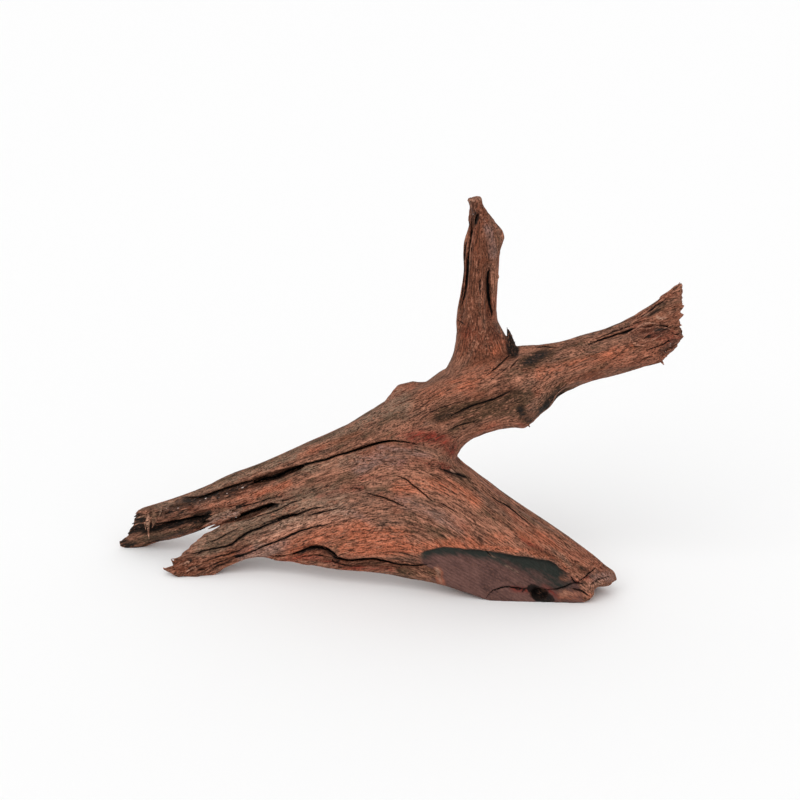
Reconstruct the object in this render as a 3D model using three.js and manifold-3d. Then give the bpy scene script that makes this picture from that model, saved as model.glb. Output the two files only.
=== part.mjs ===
// A piece of driftwood, one solid: a leaning limb with a broken upright branch,
// and a root that peels off the limb, arches forward and ends in a sawn foot.
//
// The piece is laid out in millimetres as it faces the viewer: x to the right,
// y up, z towards the viewer. It is then leant back by LEAN so that +Z is up,
// and set down on the floor with its origin under the middle of its box.
import * as THREE from "three";
import { ParametricGeometry } from "three/addons/geometries/ParametricGeometry.js";
import { mergeVertices } from "three/addons/utils/BufferGeometryUtils.js";
import Module from "manifold-3d";

const wasm = await Module();
wasm.setup();

// Driving dimensions
const LEAN = THREE.MathUtils.degToRad(20);
const FLOOR_DROP = 159.5; // from the layout's origin straight down to the floor
const FOOT_WEAR = 2; // worn off the lowest points, so that each stands on a flat spot
const BROAD_WAVE = 70; // length of one swell of a broad ridge along the fibres
const FINE_WAVE = 45; // and of a fine ridge
const FULL_RIDGE = 14; // narrower half widths than this carry lower ridges
const RAGGED_TEETH = 11; // teeth round a broken end
const DEEPEST_GROOVE = 0.6; // as a share of the half thickness under it
const FRONT_SHARE = 0.3; // how much closer the skin's lines lie in front than behind
const FRONT_EDGE = 0.1; // skin that faces the viewer less than this carries no groove
const CUT_REACH = 80; // from a cutter's floor towards the viewer
const CURVE_STEPS = 4; // straight pieces of a curve for each of its points
const SAWN = { at: [80, -122, 2], pitch: 22.5, yaw: -5, size: 200 };
const HOLE = { at: [111, -155.5, -9], radii: [8, 5, 9] };
const BARK = { color: 0x7a4a38, roughness: 0.85, metalness: 0 };

// Stations along each part of the wood. right and left are the section's edges
// for someone walking from the first station to the last, and front and back
// are its half thicknesses between them.
const LIMB = [
  { right: [-240, -129, -118], left: [-209, -92, -118], front: 13, back: 13 },
  { right: [-202, -120, -109], left: [-206, -88, -109], front: 15, back: 15 },
  { right: [-164, -108, -98], left: [-175, -76, -98], front: 16, back: 17 },
  { right: [-125, -93, -84], left: [-139, -61, -84], front: 17, back: 18 },
  { right: [-77, -90, -66], left: [-93, -42, -68], front: 18, back: 20 },
  { right: [-26, -82, -48], left: [-47, -21, -51], front: 20, back: 23 },
  { right: [13, -79, -35], left: [-11, -1, -37], front: 24, back: 27 },
  { right: [36, -65, -27], left: [16, 11, -26], front: 27, back: 30 },
  { right: [57, -32, -18], left: [39, 23, -18], front: 30, back: 32 },
  { right: [80, -22, -11], left: [68, 33, -11], front: 30, back: 31 },
  { right: [103, -18, -4], left: [91, 40, -4], front: 27, back: 28 },
  { right: [118, -3, 0], left: [109, 41, 0], front: 23, back: 24 },
  { right: [133, 9, 4], left: [128, 45, 4], front: 20, back: 20 },
  { right: [158, 17, 10], left: [147, 51, 10], front: 18, back: 18 },
  { right: [186, 25, 17], left: [174, 58, 17], front: 16, back: 16 },
  { right: [207, 31, 22], left: [199, 72, 22], front: 13, back: 13 },
  { right: [215, 38, 25], left: [214, 87, 25], front: 10, back: 10 },
  { right: [221, 47, 27], left: [220, 91, 27], front: 7, back: 7 },
];

const ROOT = [
  { right: [-187, -146, -62], left: [-187, -134, -66], front: 5, back: 5 },
  { right: [-168, -148, -62], left: [-173, -121, -70], front: 9, back: 10 },
  { right: [-146, -138, -61], left: [-150, -106, -75], front: 11, back: 13 },
  { right: [-120, -130, -57], left: [-127, -80, -79], front: 12, back: 15 },
  { right: [-89, -134, -51], left: [-83, -43, -65], front: 15, back: 18 },
  { right: [-52, -140, -42], left: [-36, -23, -50], front: 18, back: 21 },
  { right: [-11, -141, -34], left: [8, -13, -37], front: 21, back: 24 },
  { right: [27, -149, -27], left: [43, -42, -29], front: 24, back: 28 },
  { right: [60, -159, -22], left: [78, -73, -26], front: 27, back: 36 },
  { right: [95, -166, -18], left: [124, -105, -24], front: 28, back: 42 },
  { right: [133, -165, -16], left: [154, -127, -22], front: 22, back: 38 },
  { right: [151, -162, -17], left: [168, -139, -22], front: 13, back: 24 },
  { right: [160, -156, -18], left: [173, -146, -22], front: 5, back: 10 },
];

const BRANCH = [
  { right: [120, -2, -12], left: [14, -10, -22], front: 30, back: 14 },
  { right: [103, 18, -10], left: [28, 8, -18], front: 28, back: 17 },
  { right: [93, 33, -6], left: [38, 23, -12], front: 24, back: 18 },
  { right: [86, 46, -2], left: [43, 38, -6], front: 20, back: 19 },
  { right: [83, 54, 1], left: [45, 52, -1], front: 18, back: 19 },
  { right: [78, 66, 5], left: [45, 66, 4], front: 17, back: 18 },
  { right: [77, 83, 12], left: [48, 83, 12], front: 15, back: 16 },
  { right: [78, 103, 20], left: [50, 103, 20], front: 14, back: 15 },
  { right: [78, 118, 27], left: [50, 118, 27], front: 13, back: 14 },
  { right: [81, 129, 32], left: [52, 129, 32], front: 12, back: 13 },
  { right: [76, 137, 35], left: [54, 136, 35], front: 10, back: 11 },
  { right: [69, 146, 39], left: [54, 145, 39], front: 7, back: 8 },
  { right: [64, 152, 42], left: [55, 152, 42], front: 5, back: 6 },
  { right: [63, 158, 44], left: [53, 157, 44], front: 5, back: 5 },
];

// How each skin is laid: the lines around and along it, its ridges and their
// height, how square its section is, and how ragged and hollow its two ends are.
const LIMB_SKIN = {
  around: 56, along: 42, squareness: 2.1,
  fibres: 14, ridge: 1.6, ragged: [5, 5], hollow: [8, 6],
};
const ROOT_SKIN = {
  around: 62, along: 38, squareness: 2.4,
  fibres: 20, ridge: 1.8, ragged: [4, 3], hollow: [2, 2],
};
const BRANCH_SKIN = {
  around: 34, along: 24, squareness: 2.1,
  fibres: 9, ridge: 1, ragged: [0, 0.5], hollow: [0, 0],
};

// Hollows worn into the front along the fibres, as lines seen by the viewer.
const GROOVES = [
  { path: [[-240, -116], [-199, -106], [-160, -95]], width: 4.5, depth: 8 },
  { path: [[-179, -82], [-147, -73], [-115, -66]], width: 5, depth: 4 },
  { path: [[40, -13], [65, -3], [99, 8]], width: 4, depth: 3 },
  { path: [[146, 43], [178, 56], [204, 59], [226, 57]], width: 4, depth: 4 },
  { path: [[55, 143], [52, 117], [50, 87], [47, 65]], width: 2.5, depth: 4 },
  { path: [[69, 104], [70, 87], [72, 65]], width: 3, depth: 6 },
];

// Cracks that split the front open, with the depth of their floor at both ends.
const CRACKS = [
  { path: [[-126, -70], [-101, -62], [-76, -53]], width: 6, floor: [-78, -56] },
  { path: [[-80, -54], [-41, -42], [-9, -33], [19, -36]], width: 2.4, floor: [-56, -12] },
  { path: [[-152, -104], [-124, -94], [-102, -84]], width: 6, floor: [-84, -68] },
  { path: [[-3, -61], [12, -67], [27, -82]], width: 1.4, floor: [-20, -15] },
  { path: [[-28, -76], [-12, -80], [5, -87]], width: 1.4, floor: [-34, -20] },
  { path: [[-132, -109], [-95, -96], [-58, -91]], width: 2, floor: [-63, -40] },
];

// The layer that has peeled off below a wavy lip along the underside of the root.
const LIP = {
  path: [[-113, -128], [-90, -122], [-69, -118], [-51, -129], [-19, -128], [17, -133], [32, -141]],
  bottom: -190,
  floor: [-53, -17],
};

// Splinters, from where they are sunk in the wood to their tips.
const SPLINTERS = [
  { root: [91, 34, -6], tip: [86, 57, -2], radius: 4.5 },
  { root: [-172, -138, -63], tip: [-197, -140, -62], radius: 4 },
  { root: [-174, -131, -64], tip: [-191, -132, -64], radius: 3.5 },
  { root: [-133, -92, -72], tip: [-162, -105, -80], radius: 5 },
  { root: [207, 77, 24], tip: [222, 93, 27], radius: 5 },
];
const SPLINTER_SIDES = 6;
const SPLINTER_TIP = 0.15; // of its radius

// Bumps, and dents below zero, on the skin of the limb.
const KNOBS = [
  { at: [5, 7, -33], reach: 10, height: 11 },
  { at: [103, -17, -4], reach: 7, height: 3 },
  { at: [116, 31, 18], reach: 13, height: -4 },
];

// A repeatable number from -1 to 1 for each pair of whole numbers.
function scatter(i, j) {
  const rowSeeds = 1000;
  return 2 * THREE.MathUtils.seededRandom(1 + i + rowSeeds * j) - 1;
}

// Smooth noise from -1 to 1 that repeats after `period` steps of x.
function noise(x, y, period) {
  const wrap = (n) => THREE.MathUtils.euclideanModulo(n, period);
  const i = Math.floor(x);
  const j = Math.floor(y);
  const fx = THREE.MathUtils.smoothstep(x - i, 0, 1);
  const fy = THREE.MathUtils.smoothstep(y - j, 0, 1);
  const row = (k) => THREE.MathUtils.lerp(scatter(wrap(i), k), scatter(wrap(i + 1), k), fx);
  return THREE.MathUtils.lerp(row(j), row(j + 1), fy);
}

// How deep the grooves are at a point of the front, as the viewer sees it.
function grooveDepth(x, y) {
  const point = new THREE.Vector3(x, y, 0);
  const nearest = new THREE.Vector3();
  let deepest = 0;
  for (const { path, width, depth } of GROOVES) {
    let gap = Infinity;
    for (let i = 1; i < path.length; i++) {
      const from = new THREE.Vector3(...path[i - 1], 0);
      const to = new THREE.Vector3(...path[i], 0);
      new THREE.Line3(from, to).closestPointToPoint(point, true, nearest);
      gap = Math.min(gap, nearest.distanceTo(point));
    }
    deepest = Math.max(deepest, depth * Math.exp(-((gap / width) ** 2)));
  }
  return deepest;
}

// How far the knobs lift the skin at a point of it.
function knobHeight(point) {
  let lift = 0;
  for (const { at, reach, height } of KNOBS) {
    const gap = point.distanceTo(new THREE.Vector3(...at));
    lift += height * Math.exp(-((gap / reach) ** 2));
  }
  return lift;
}

// A smooth curve through one point per station.
function through(stations, pick) {
  return new THREE.CatmullRomCurve3(stations.map((s) => new THREE.Vector3(...pick(s))));
}

// A closed skin round the stations. Ridges run along its fibres, the grooves are
// worn into its front, and its two ends are ragged and hollow by so many millimetres.
function loft(stations, { around, along, fibres, ridge, squareness, ragged, hollow }) {
  const right = through(stations, (s) => s.right);
  const left = through(stations, (s) => s.left);
  const thick = through(stations, (s) => [s.front, s.back, 0]);
  const middle = (t) => right.getPoint(t).lerp(left.getPoint(t), 0.5);
  const length = (right.getLength() + left.getLength()) / 2;
  const power = (x) => Math.sign(x) * Math.abs(x) ** (2 / squareness);
  const step = 1e-3;

  const skin = (u, v, target) => {
    const row = Math.round(v * along);
    const t = THREE.MathUtils.clamp((row - 1) / (along - 2), 0, 1);
    const tangent = middle(Math.min(t + step, 1)).sub(middle(Math.max(t - step, 0))).normalize();
    target.copy(middle(t));
    if (row === 0 || row === along) {
      target.addScaledVector(tangent, row === 0 ? hollow[0] : -hollow[1]);
      return;
    }
    const up = left.getPoint(t).sub(right.getPoint(t));
    const half = up.length() / 2;
    up.normalize();
    const out = new THREE.Vector3().crossVectors(tangent, up).normalize();
    const share = u + (FRONT_SHARE * Math.cos(2 * Math.PI * u)) / (2 * Math.PI);
    const turn = 2 * Math.PI * share;
    const { x: front, y: back } = thick.getPoint(t);
    const depth = Math.sin(turn) > 0 ? front : back;
    target.addScaledVector(up, half * power(Math.cos(turn)));
    target.addScaledVector(out, depth * power(Math.sin(turn)));
    const facing = new THREE.Vector3()
      .addScaledVector(up, Math.cos(turn) / half)
      .addScaledVector(out, Math.sin(turn) / depth)
      .normalize();
    const broad = noise(share * fibres, (t * length) / BROAD_WAVE, fibres);
    const fine = noise(2 * share * fibres, (t * length) / FINE_WAVE, 2 * fibres);
    const rise = ridge * (broad + fine) * Math.min(1, half / FULL_RIDGE);
    const worn = facing.z > FRONT_EDGE ? grooveDepth(target.x, target.y) : 0;
    const limit = DEEPEST_GROOVE * depth;
    target.addScaledVector(facing, rise + knobHeight(target) - Math.min(worn, limit));
    const tear = noise(u * RAGGED_TEETH, 0, RAGGED_TEETH);
    if (row === 1) target.addScaledVector(tangent, -ragged[0] * tear);
    if (row === along - 1) target.addScaledVector(tangent, ragged[1] * tear);
  };
  return new ParametricGeometry(skin, around, along);
}

// A closed solid from a geometry, with its seams welded and its empty triangles dropped.
function solid(geometry) {
  const bare = geometry.clone();
  bare.deleteAttribute("normal");
  bare.deleteAttribute("uv");
  const merged = mergeVertices(bare);
  const kept = [];
  for (let i = 0; i < merged.index.count; i += 3) {
    const [a, b, c] = merged.index.array.slice(i, i + 3);
    if (a !== b && b !== c && c !== a) kept.push(a, b, c);
  }
  const vertProperties = merged.attributes.position.array;
  const triVerts = new Uint32Array(kept);
  return new wasm.Manifold(new wasm.Mesh({ numProp: 3, vertProperties, triVerts }));
}

// The geometry of a solid.
function geometryOf(body) {
  const mesh = body.getMesh();
  return new THREE.BufferGeometry()
    .setAttribute("position", new THREE.BufferAttribute(mesh.vertProperties, 3))
    .setIndex(new THREE.BufferAttribute(mesh.triVerts, 1));
}

// A pointed splinter.
function splinter({ root, tip, radius }) {
  const from = new THREE.Vector3(...root);
  const to = new THREE.Vector3(...tip);
  const reach = to.clone().sub(from);
  const axis = new THREE.Vector3(0, 1, 0);
  const turn = new THREE.Quaternion().setFromUnitVectors(axis, reach.clone().normalize());
  return new THREE.CylinderGeometry(SPLINTER_TIP * radius, radius, reach.length(), SPLINTER_SIDES)
    .applyQuaternion(turn)
    .translate(...from.lerp(to, 0.5).toArray());
}

// A smooth line through points, as the viewer sees them.
function lineThrough(path) {
  return new THREE.SplineCurve(path.map((p) => new THREE.Vector2(...p)));
}

// A cutter with this outline, open towards the viewer. Its floor slopes between
// two depths along x, from the start of the path to its end.
function cutter(outline, path, floor) {
  const start = path[0][0];
  const end = path[path.length - 1][0];
  const slope = (floor[1] - floor[0]) / (end - start);
  return new THREE.ExtrudeGeometry(outline, { depth: CUT_REACH, bevelEnabled: false })
    .applyMatrix4(new THREE.Matrix4().makeShear(0, slope, 0, 0, 0, 0))
    .translate(0, 0, floor[0] - slope * start);
}

// The cutter of a crack, which is pointed at both ends.
function crackCutter({ path, width, floor }) {
  const line = lineThrough(path);
  const steps = CURVE_STEPS * path.length;
  const edgePoint = (i, side) => {
    const { x, y } = line.getTangent(i / steps);
    const reach = (side * width * Math.sin((Math.PI * i) / steps)) / 2;
    return line.getPoint(i / steps).add(new THREE.Vector2(-y, x).multiplyScalar(reach));
  };
  const marks = Array.from({ length: steps + 1 }, (_, i) => i);
  const upper = marks.map((i) => edgePoint(i, 1));
  const lower = marks.slice(1, -1).map((i) => edgePoint(i, -1));
  return cutter(new THREE.Shape([...upper, ...lower.reverse()]), path, floor);
}

// The cutter of the peeled layer, from the lip down past the underside.
function lipCutter({ path, bottom, floor }) {
  const lip = lineThrough(path).getPoints(CURVE_STEPS * path.length);
  const corners = [lip[0], lip[lip.length - 1]].map(({ x }) => new THREE.Vector2(x, bottom));
  return cutter(new THREE.Shape([...corners, ...lip.reverse()]), path, floor);
}

// The half space in front of the sawn face of the foot.
function sawnCutter({ at, pitch, yaw, size }) {
  return new THREE.BoxGeometry(size, size, size)
    .translate(0, 0, size / 2)
    .rotateX(THREE.MathUtils.degToRad(pitch))
    .rotateY(THREE.MathUtils.degToRad(yaw))
    .translate(...at);
}

// The rotten hole in the lower edge of the sawn face.
function holeCutter({ at, radii }) {
  return new THREE.SphereGeometry(1, 10, 8).scale(...radii).translate(...at);
}

// Everything below the floor, with the wear of the feet.
function floorCutter() {
  const size = 1000;
  return new THREE.BoxGeometry(size, size, size).translate(0, 0, FOOT_WEAR - size / 2);
}

const grown = [
  loft(LIMB, LIMB_SKIN),
  loft(ROOT, ROOT_SKIN),
  loft(BRANCH, BRANCH_SKIN),
  ...SPLINTERS.map(splinter),
].map(solid);
const lost = [sawnCutter(SAWN), holeCutter(HOLE), lipCutter(LIP), ...CRACKS.map(crackCutter)].map(solid);
const whole = grown.reduce((wood, part) => wood.add(part));
const worn = lost.reduce((wood, part) => wood.subtract(part), whole);

// Lean the layout back and set it on the floor.
const leant = geometryOf(worn).rotateX(Math.PI / 2 - LEAN).translate(0, 0, FLOOR_DROP);
const wood = geometryOf(solid(leant).subtract(solid(floorCutter())));
wood.computeBoundingBox();
const middle = wood.boundingBox.getCenter(new THREE.Vector3());
wood.computeVertexNormals();

const piece = new THREE.Mesh(wood, new THREE.MeshStandardMaterial(BARK));
piece.name = "driftwood";
piece.position.set(-middle.x, -middle.y, -FOOT_WEAR);
const driftwood = new THREE.Group();
driftwood.add(piece);

export default driftwood;
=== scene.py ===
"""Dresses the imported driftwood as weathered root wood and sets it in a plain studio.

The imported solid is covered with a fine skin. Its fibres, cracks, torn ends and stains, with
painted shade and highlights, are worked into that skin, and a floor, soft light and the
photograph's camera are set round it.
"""

import itertools
import logging
import math
from dataclasses import dataclass, field
from enum import Enum
from typing import ClassVar

import bmesh
import bpy
import numpy as np
from mathutils import Matrix, Vector
from mathutils.bvhtree import BVHTree


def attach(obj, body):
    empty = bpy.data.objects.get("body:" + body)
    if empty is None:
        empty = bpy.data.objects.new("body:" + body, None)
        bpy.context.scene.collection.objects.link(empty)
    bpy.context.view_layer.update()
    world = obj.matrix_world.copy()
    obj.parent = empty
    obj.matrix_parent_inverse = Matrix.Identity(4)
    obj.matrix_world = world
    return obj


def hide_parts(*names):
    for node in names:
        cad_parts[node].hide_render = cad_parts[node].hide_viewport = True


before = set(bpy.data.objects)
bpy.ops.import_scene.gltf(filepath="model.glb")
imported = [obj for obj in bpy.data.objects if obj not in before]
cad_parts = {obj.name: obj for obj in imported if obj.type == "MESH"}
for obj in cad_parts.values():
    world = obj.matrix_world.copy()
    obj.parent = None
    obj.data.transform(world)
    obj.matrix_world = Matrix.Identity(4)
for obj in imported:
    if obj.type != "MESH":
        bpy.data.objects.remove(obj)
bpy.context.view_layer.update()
log = logging.getLogger("driftwood")

# Metres in a millimetre.
MM = 0.001
# Millimetres that one of the photograph's pixels covers at the camera's target.
PIXEL = 0.8
# Millimetres to a split that stand for none near.
WHOLE = 9.0
# How far one round of smoothing moves a point towards its neighbours.
SMOOTHING = 0.5

Point = tuple[float, float]
Place = tuple[float, float, float]
Line = tuple[Point, ...]
Colour = tuple[float, float, float, float]
Socket = bpy.types.NodeSocket


def srgb(red: int, green: int, blue: int) -> Colour:
    """Turns a colour as a painter mixes it on screen into the linear one that shaders use.

    Args:
        red: Red, from 0 to 255.
        green: Green, from 0 to 255.
        blue: Blue, from 0 to 255.

    Returns:
        The linear colour with full alpha.
    """
    shares = [channel / 255 for channel in (red, green, blue)]
    linear = [s / 12.92 if s <= 0.04045 else ((s + 0.055) / 1.055) ** 2.4 for s in shares]
    return (*linear, 1.0)


def ease(values: np.ndarray, low: float, high: float) -> np.ndarray:
    """Rises smoothly from 0 at low to 1 at high.

    Args:
        values: The values to ease.
        low: Where the result is 0.
        high: Where the result is 1. It may lie below low.

    Returns:
        One share per value.
    """
    share = np.clip((values - low) / (high - low), 0, 1)
    return share * share * (3 - 2 * share)


def smooth_path(path: Line, steps: int = 6) -> np.ndarray:
    """Rounds a line of given points into a smooth one through all of them.

    Args:
        path: The points, in the photograph's pixels.
        steps: Pieces between two points.

    Returns:
        The points of the smooth line.
    """
    knots = np.array([path[0], *path, path[-1]], float)
    line = []
    for before, start, end, after in zip(knots, knots[1:], knots[2:], knots[3:]):
        for t in np.arange(steps) / steps:
            line.append(0.5 * (
                2 * start + (end - before) * t
                + (2 * before - 5 * start + 4 * end - after) * t**2
                + (3 * start - before - 3 * end + after) * t**3
            ))
    return np.array([*line, knots[-1]])


def nearest_on_path(
    picture: np.ndarray, path: np.ndarray
) -> tuple[np.ndarray, np.ndarray, np.ndarray]:
    """Finds the nearest spot of a line for many points of the picture.

    Args:
        picture: The points, in pixels.
        path: The line's points, in pixels.

    Returns:
        The distance in pixels, the share of the line passed, and the distance below the line
        for someone who follows it from left to right, which is negative above it.
    """
    gap = np.full(len(picture), np.inf)
    passed = np.zeros(len(picture))
    below = np.zeros(len(picture))
    lengths = np.linalg.norm(np.diff(path, axis=0), axis=1)
    marks = np.concatenate([[0], np.cumsum(lengths)]) / lengths.sum()
    for start, end, length, first, last in zip(path, path[1:], lengths, marks, marks[1:]):
        way = (end - start) / length
        reach = np.clip((picture - start) @ way, 0, length)
        away = picture - start - reach[:, None] * way
        distance = np.hypot(away[:, 0], away[:, 1])
        closer = distance < gap
        gap[closer] = distance[closer]
        passed[closer] = (first + (last - first) * reach / length)[closer]
        below[closer] = (way[0] * away[:, 1] - way[1] * away[:, 0])[closer]
    return gap, passed, below


def near_path(picture: np.ndarray, path: np.ndarray, margin: float = 30.0) -> np.ndarray:
    """Picks the points of the picture that lie in a line's box or close to it.

    Args:
        picture: The points, in pixels.
        path: The line's points, in pixels.
        margin: How far outside the box still counts.

    Returns:
        True for each point that lies there.
    """
    return np.all((picture > path.min(0) - margin) & (picture < path.max(0) + margin), axis=1)


def tapered(passed: np.ndarray) -> np.ndarray:
    """Gives how wide a line still is, from its middle to its two ends."""
    return np.sqrt(np.sin(np.pi * np.clip(passed, 0.02, 0.98)))


class GrainNoise:
    """Smooth noise from about -1 to 1 that is the same on every run."""

    table: int = 256
    gain: float = 1.6

    def __init__(self, seed: int) -> None:
        """Draws the table of slopes.

        Args:
            seed: The table's number.
        """
        draw = np.random.default_rng(seed)
        self.order = draw.permutation(self.table)
        slopes = draw.normal(size=(self.table, 3))
        self.slopes = slopes / np.linalg.norm(slopes, axis=1, keepdims=True)

    def at(self, points: np.ndarray, spacing: Place) -> np.ndarray:
        """Gives the noise at points.

        Args:
            points: The points, in millimetres.
            spacing: The size of one swell along each axis.

        Returns:
            One value per point.
        """
        scaled = points / np.array(spacing)
        cell = np.floor(scaled).astype(int)
        part = scaled - cell
        fade = part**3 * (part * (part * 6 - 15) + 10)
        total = np.zeros(len(points))
        for corner in itertools.product((0, 1), repeat=3):
            key = np.zeros(len(points), int)
            reach = np.ones(len(points))
            for axis, side in enumerate(corner):
                key = self.order[(key + cell[:, axis] + side) & (self.table - 1)]
                reach *= fade[:, axis] if side else 1 - fade[:, axis]
            total += reach * ((part - corner) * self.slopes[key]).sum(axis=1)
        return self.gain * total


@dataclass(frozen=True)
class Viewpoint:
    """The photograph's camera, and the millimetres and pixels it sees the wood in."""

    target: Place = (0.00768, -0.01812, 0.1575)
    elevation: float = 20.0
    distance: float = 1.778
    lens: float = 100.0
    sensor: float = 36.0
    frame_width: int = 800

    def axes(self) -> np.ndarray:
        """Gives the directions to the right of, above and towards the viewer, as rows."""
        lift = math.radians(self.elevation)
        rise, run = math.sin(lift), math.cos(lift)
        return np.array([(1, 0, 0), (0, rise, run), (0, -run, rise)])

    def seen(self, points: np.ndarray) -> np.ndarray:
        """Turns places in metres into millimetres right of, above and in front of the target.

        Args:
            points: Places in the model's frame.

        Returns:
            The same places as the viewer measures them.
        """
        return (points - np.array(self.target)) @ self.axes().T / MM

    def placed(self, seen: np.ndarray) -> np.ndarray:
        """Turns what the viewer measures back into places in metres.

        Args:
            seen: Millimetres right of, above and in front of the target.

        Returns:
            Places in the model's frame.
        """
        return np.asarray(seen) * MM @ self.axes() + np.array(self.target)

    def picture(self, seen: np.ndarray) -> np.ndarray:
        """Finds where places show in the photograph.

        Args:
            seen: Millimetres right of, above and in front of the target.

        Returns:
            Pixels to the right and down.
        """
        focal = self.frame_width * self.lens / self.sensor
        scale = focal / (self.distance / MM - seen[:, 2])
        middle = self.frame_width / 2
        return np.stack([middle + scale * seen[:, 0], middle - scale * seen[:, 1]], axis=1)

    def place(self) -> None:
        """Sets the camera up."""
        camera = bpy.data.objects.new("camera", bpy.data.cameras.new("camera"))
        bpy.context.scene.collection.objects.link(camera)
        camera.data.lens = self.lens
        camera.data.sensor_width = self.sensor
        camera.location = Vector(self.target) + self.distance * Vector(self.axes()[2])
        camera.rotation_euler = (math.radians(90 - self.elevation), 0, 0)
        bpy.context.scene.camera = camera


@dataclass(frozen=True)
class LimbGrain:
    """Fibres of the limb, which run straight from its low end to its flared one."""

    low_end: Place = (-226, -110, -118)
    high_end: Place = (220, 69, 27)

    def along(self) -> np.ndarray:
        """Gives the way that the fibres run."""
        way = np.subtract(self.high_end, self.low_end)
        return way / np.linalg.norm(way)

    def lay(self, seen: np.ndarray) -> np.ndarray:
        """Measures places along the fibres, across them and into the wood, in millimetres."""
        along = self.along()
        across = np.array([-along[1], along[0], 0]) / math.hypot(along[0], along[1])
        inward = np.cross(along, across)
        return seen @ np.stack([along, across, inward]).T


@dataclass(frozen=True)
class RootGrain:
    """Fibres of the root, which rise from its tip, arch over and fall to its foot."""

    rising_through: Point = (-41, -42.6)
    rising_slope: float = 0.33
    falling_through: Point = (45.6, -44)
    falling_slope: float = -0.727
    bend: float = 14.0
    depth_slope: float = 0.2

    def lay(self, seen: np.ndarray) -> np.ndarray:
        """Measures places along the fibres, across them and into the wood, in millimetres."""
        x, y, z = seen.T

        def below(through: Point, slope: float) -> np.ndarray:
            """Gives the distance under a straight line of that slope."""
            return (slope * (x - through[0]) - (y - through[1])) / math.hypot(1, slope)

        rising = below(self.rising_through, self.rising_slope)
        falling = below(self.falling_through, self.falling_slope)
        across = -self.bend * np.logaddexp(-rising / self.bend, -falling / self.bend)
        return np.stack([x, across, z - self.depth_slope * x], axis=1)


@dataclass(frozen=True)
class BranchGrain:
    """Fibres of the branch, which stand upright and spread where it grows out of the limb."""

    middle: float = 65.0
    lean: float = 0.37
    slim: float = 29.0
    flare: float = 62.0
    flare_height: float = 22.0
    flare_from: float = 6.0
    flare_low: float = -10.0

    def lay(self, seen: np.ndarray) -> np.ndarray:
        """Measures places along the fibres, across them and into the wood, in millimetres."""
        x, y, z = seen.T
        height = np.maximum(y - self.flare_from, self.flare_low)
        width = self.slim + self.flare * np.exp(-height / self.flare_height)
        across = (x - self.middle) * self.slim / width
        return np.stack([y + self.lean * z, across, z - self.lean * y], axis=1)


class Cut(Enum):
    """How a line is worked into the wood."""

    CRACK = "split open to a point"
    GROOVE = "worn to a round hollow"
    STEP = "dropped on its lower side"


@dataclass(frozen=True)
class Mark:
    """A line worked into the wood where the viewer sees it.

    Its path is in pixels, and its width and depth are in millimetres.
    """

    cut: Cut
    path: Line
    width: float
    depth: float
    crack_curve: ClassVar[float] = 0.8
    step_edge: ClassVar[Point] = (-0.3, 0.5)

    def fall(self, gap: np.ndarray, passed: np.ndarray, below: np.ndarray) -> np.ndarray:
        """Gives how deep the wood falls near the line.

        Args:
            gap: Distance from the line, in millimetres.
            passed: Share of the line passed.
            below: Distance under the line, in millimetres.

        Returns:
            Millimetres to move each point into the wood.
        """
        taper = tapered(passed)
        if self.cut is Cut.CRACK:
            open_share = np.clip(1 - gap / (self.width * taper), 0, 1)
            return self.depth * taper * open_share**self.crack_curve
        worn = np.exp(-((gap / self.width) ** 2))
        if self.cut is Cut.GROOVE:
            return self.depth * taper * worn
        return self.depth * taper * ease(below, *self.step_edge) * worn


@dataclass(frozen=True)
class Patch:
    """A soft oval where the viewer sees it.

    Its middle, half length and half height are in pixels, and its turn is the degrees that its
    length falls to the right.
    """

    at: Point
    size: Point
    turn: float

    def share(self, picture: np.ndarray) -> np.ndarray:
        """Gives how much of the patch covers points of the picture.

        Args:
            picture: The points, in pixels.

        Returns:
            Shares from 0 to 1.
        """
        angle = math.radians(self.turn)
        away = picture - np.array(self.at)
        long = (away[:, 0] * math.cos(angle) + away[:, 1] * math.sin(angle)) / self.size[0]
        high = (away[:, 1] * math.cos(angle) - away[:, 0] * math.sin(angle)) / self.size[1]
        return np.exp(-(long**2 + high**2))


@dataclass(frozen=True)
class Dent(Patch):
    """A pit, with its depth in millimetres."""

    depth: float


@dataclass(frozen=True)
class Nudge(Patch):
    """A soft shift of the outline, in pixels to the right and down."""

    shift: Point


class Tint(Enum):
    """The stains of the wood, some also laid as painted shade, by the attribute that holds where
    they are.
    """

    UMBER = "umber"
    DUST = "dust"
    RUST = "rust"
    EMBER = "ember"
    MOSS_AND_SHADE = "moss_and_shade"
    CHAR_AND_SHADE = "char"
    SLATE = "slate"
    WET_AND_SHADE = "wet"
    BLEACH = "bleach"


@dataclass(frozen=True)
class Stain:
    """A soft streak where the viewer sees it, with its path and half width in pixels."""

    path: Line
    width: float
    strength: float


def streaks(*rows: tuple[Line, float, float]) -> tuple[Stain, ...]:
    """Reads rows of path, half width and strength as stains."""
    return tuple(Stain(*row) for row in rows)


@dataclass(frozen=True)
class Splinter:
    """A thin torn strip of wood where the viewer sees it.

    Its path is in pixels, and its width and lift are in millimetres. Give is how far, in
    millimetres per ring, it falls back with the skin below it.
    """

    path: tuple[Point, Point, Point]
    width: float
    lift: float
    pale: float
    give: float = 0.3
    tip: ClassVar[float] = 0.14
    taper: ClassVar[float] = 1.7
    flatness: ClassVar[float] = 0.45
    knot: ClassVar[float] = 0.25
    knot_rate: ClassVar[float] = 11.0
    knot_shift: ClassVar[float] = 7.0

    def breadth(self, share: float) -> float:
        """Gives how broad the strip is, with its knots, at a share of its length."""
        knots = self.knot * math.sin(self.knot_rate * share + self.knot_shift * self.width)
        return min(1.0, self.tip + self.taper * (1 - share)) * (1 + knots)


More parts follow.
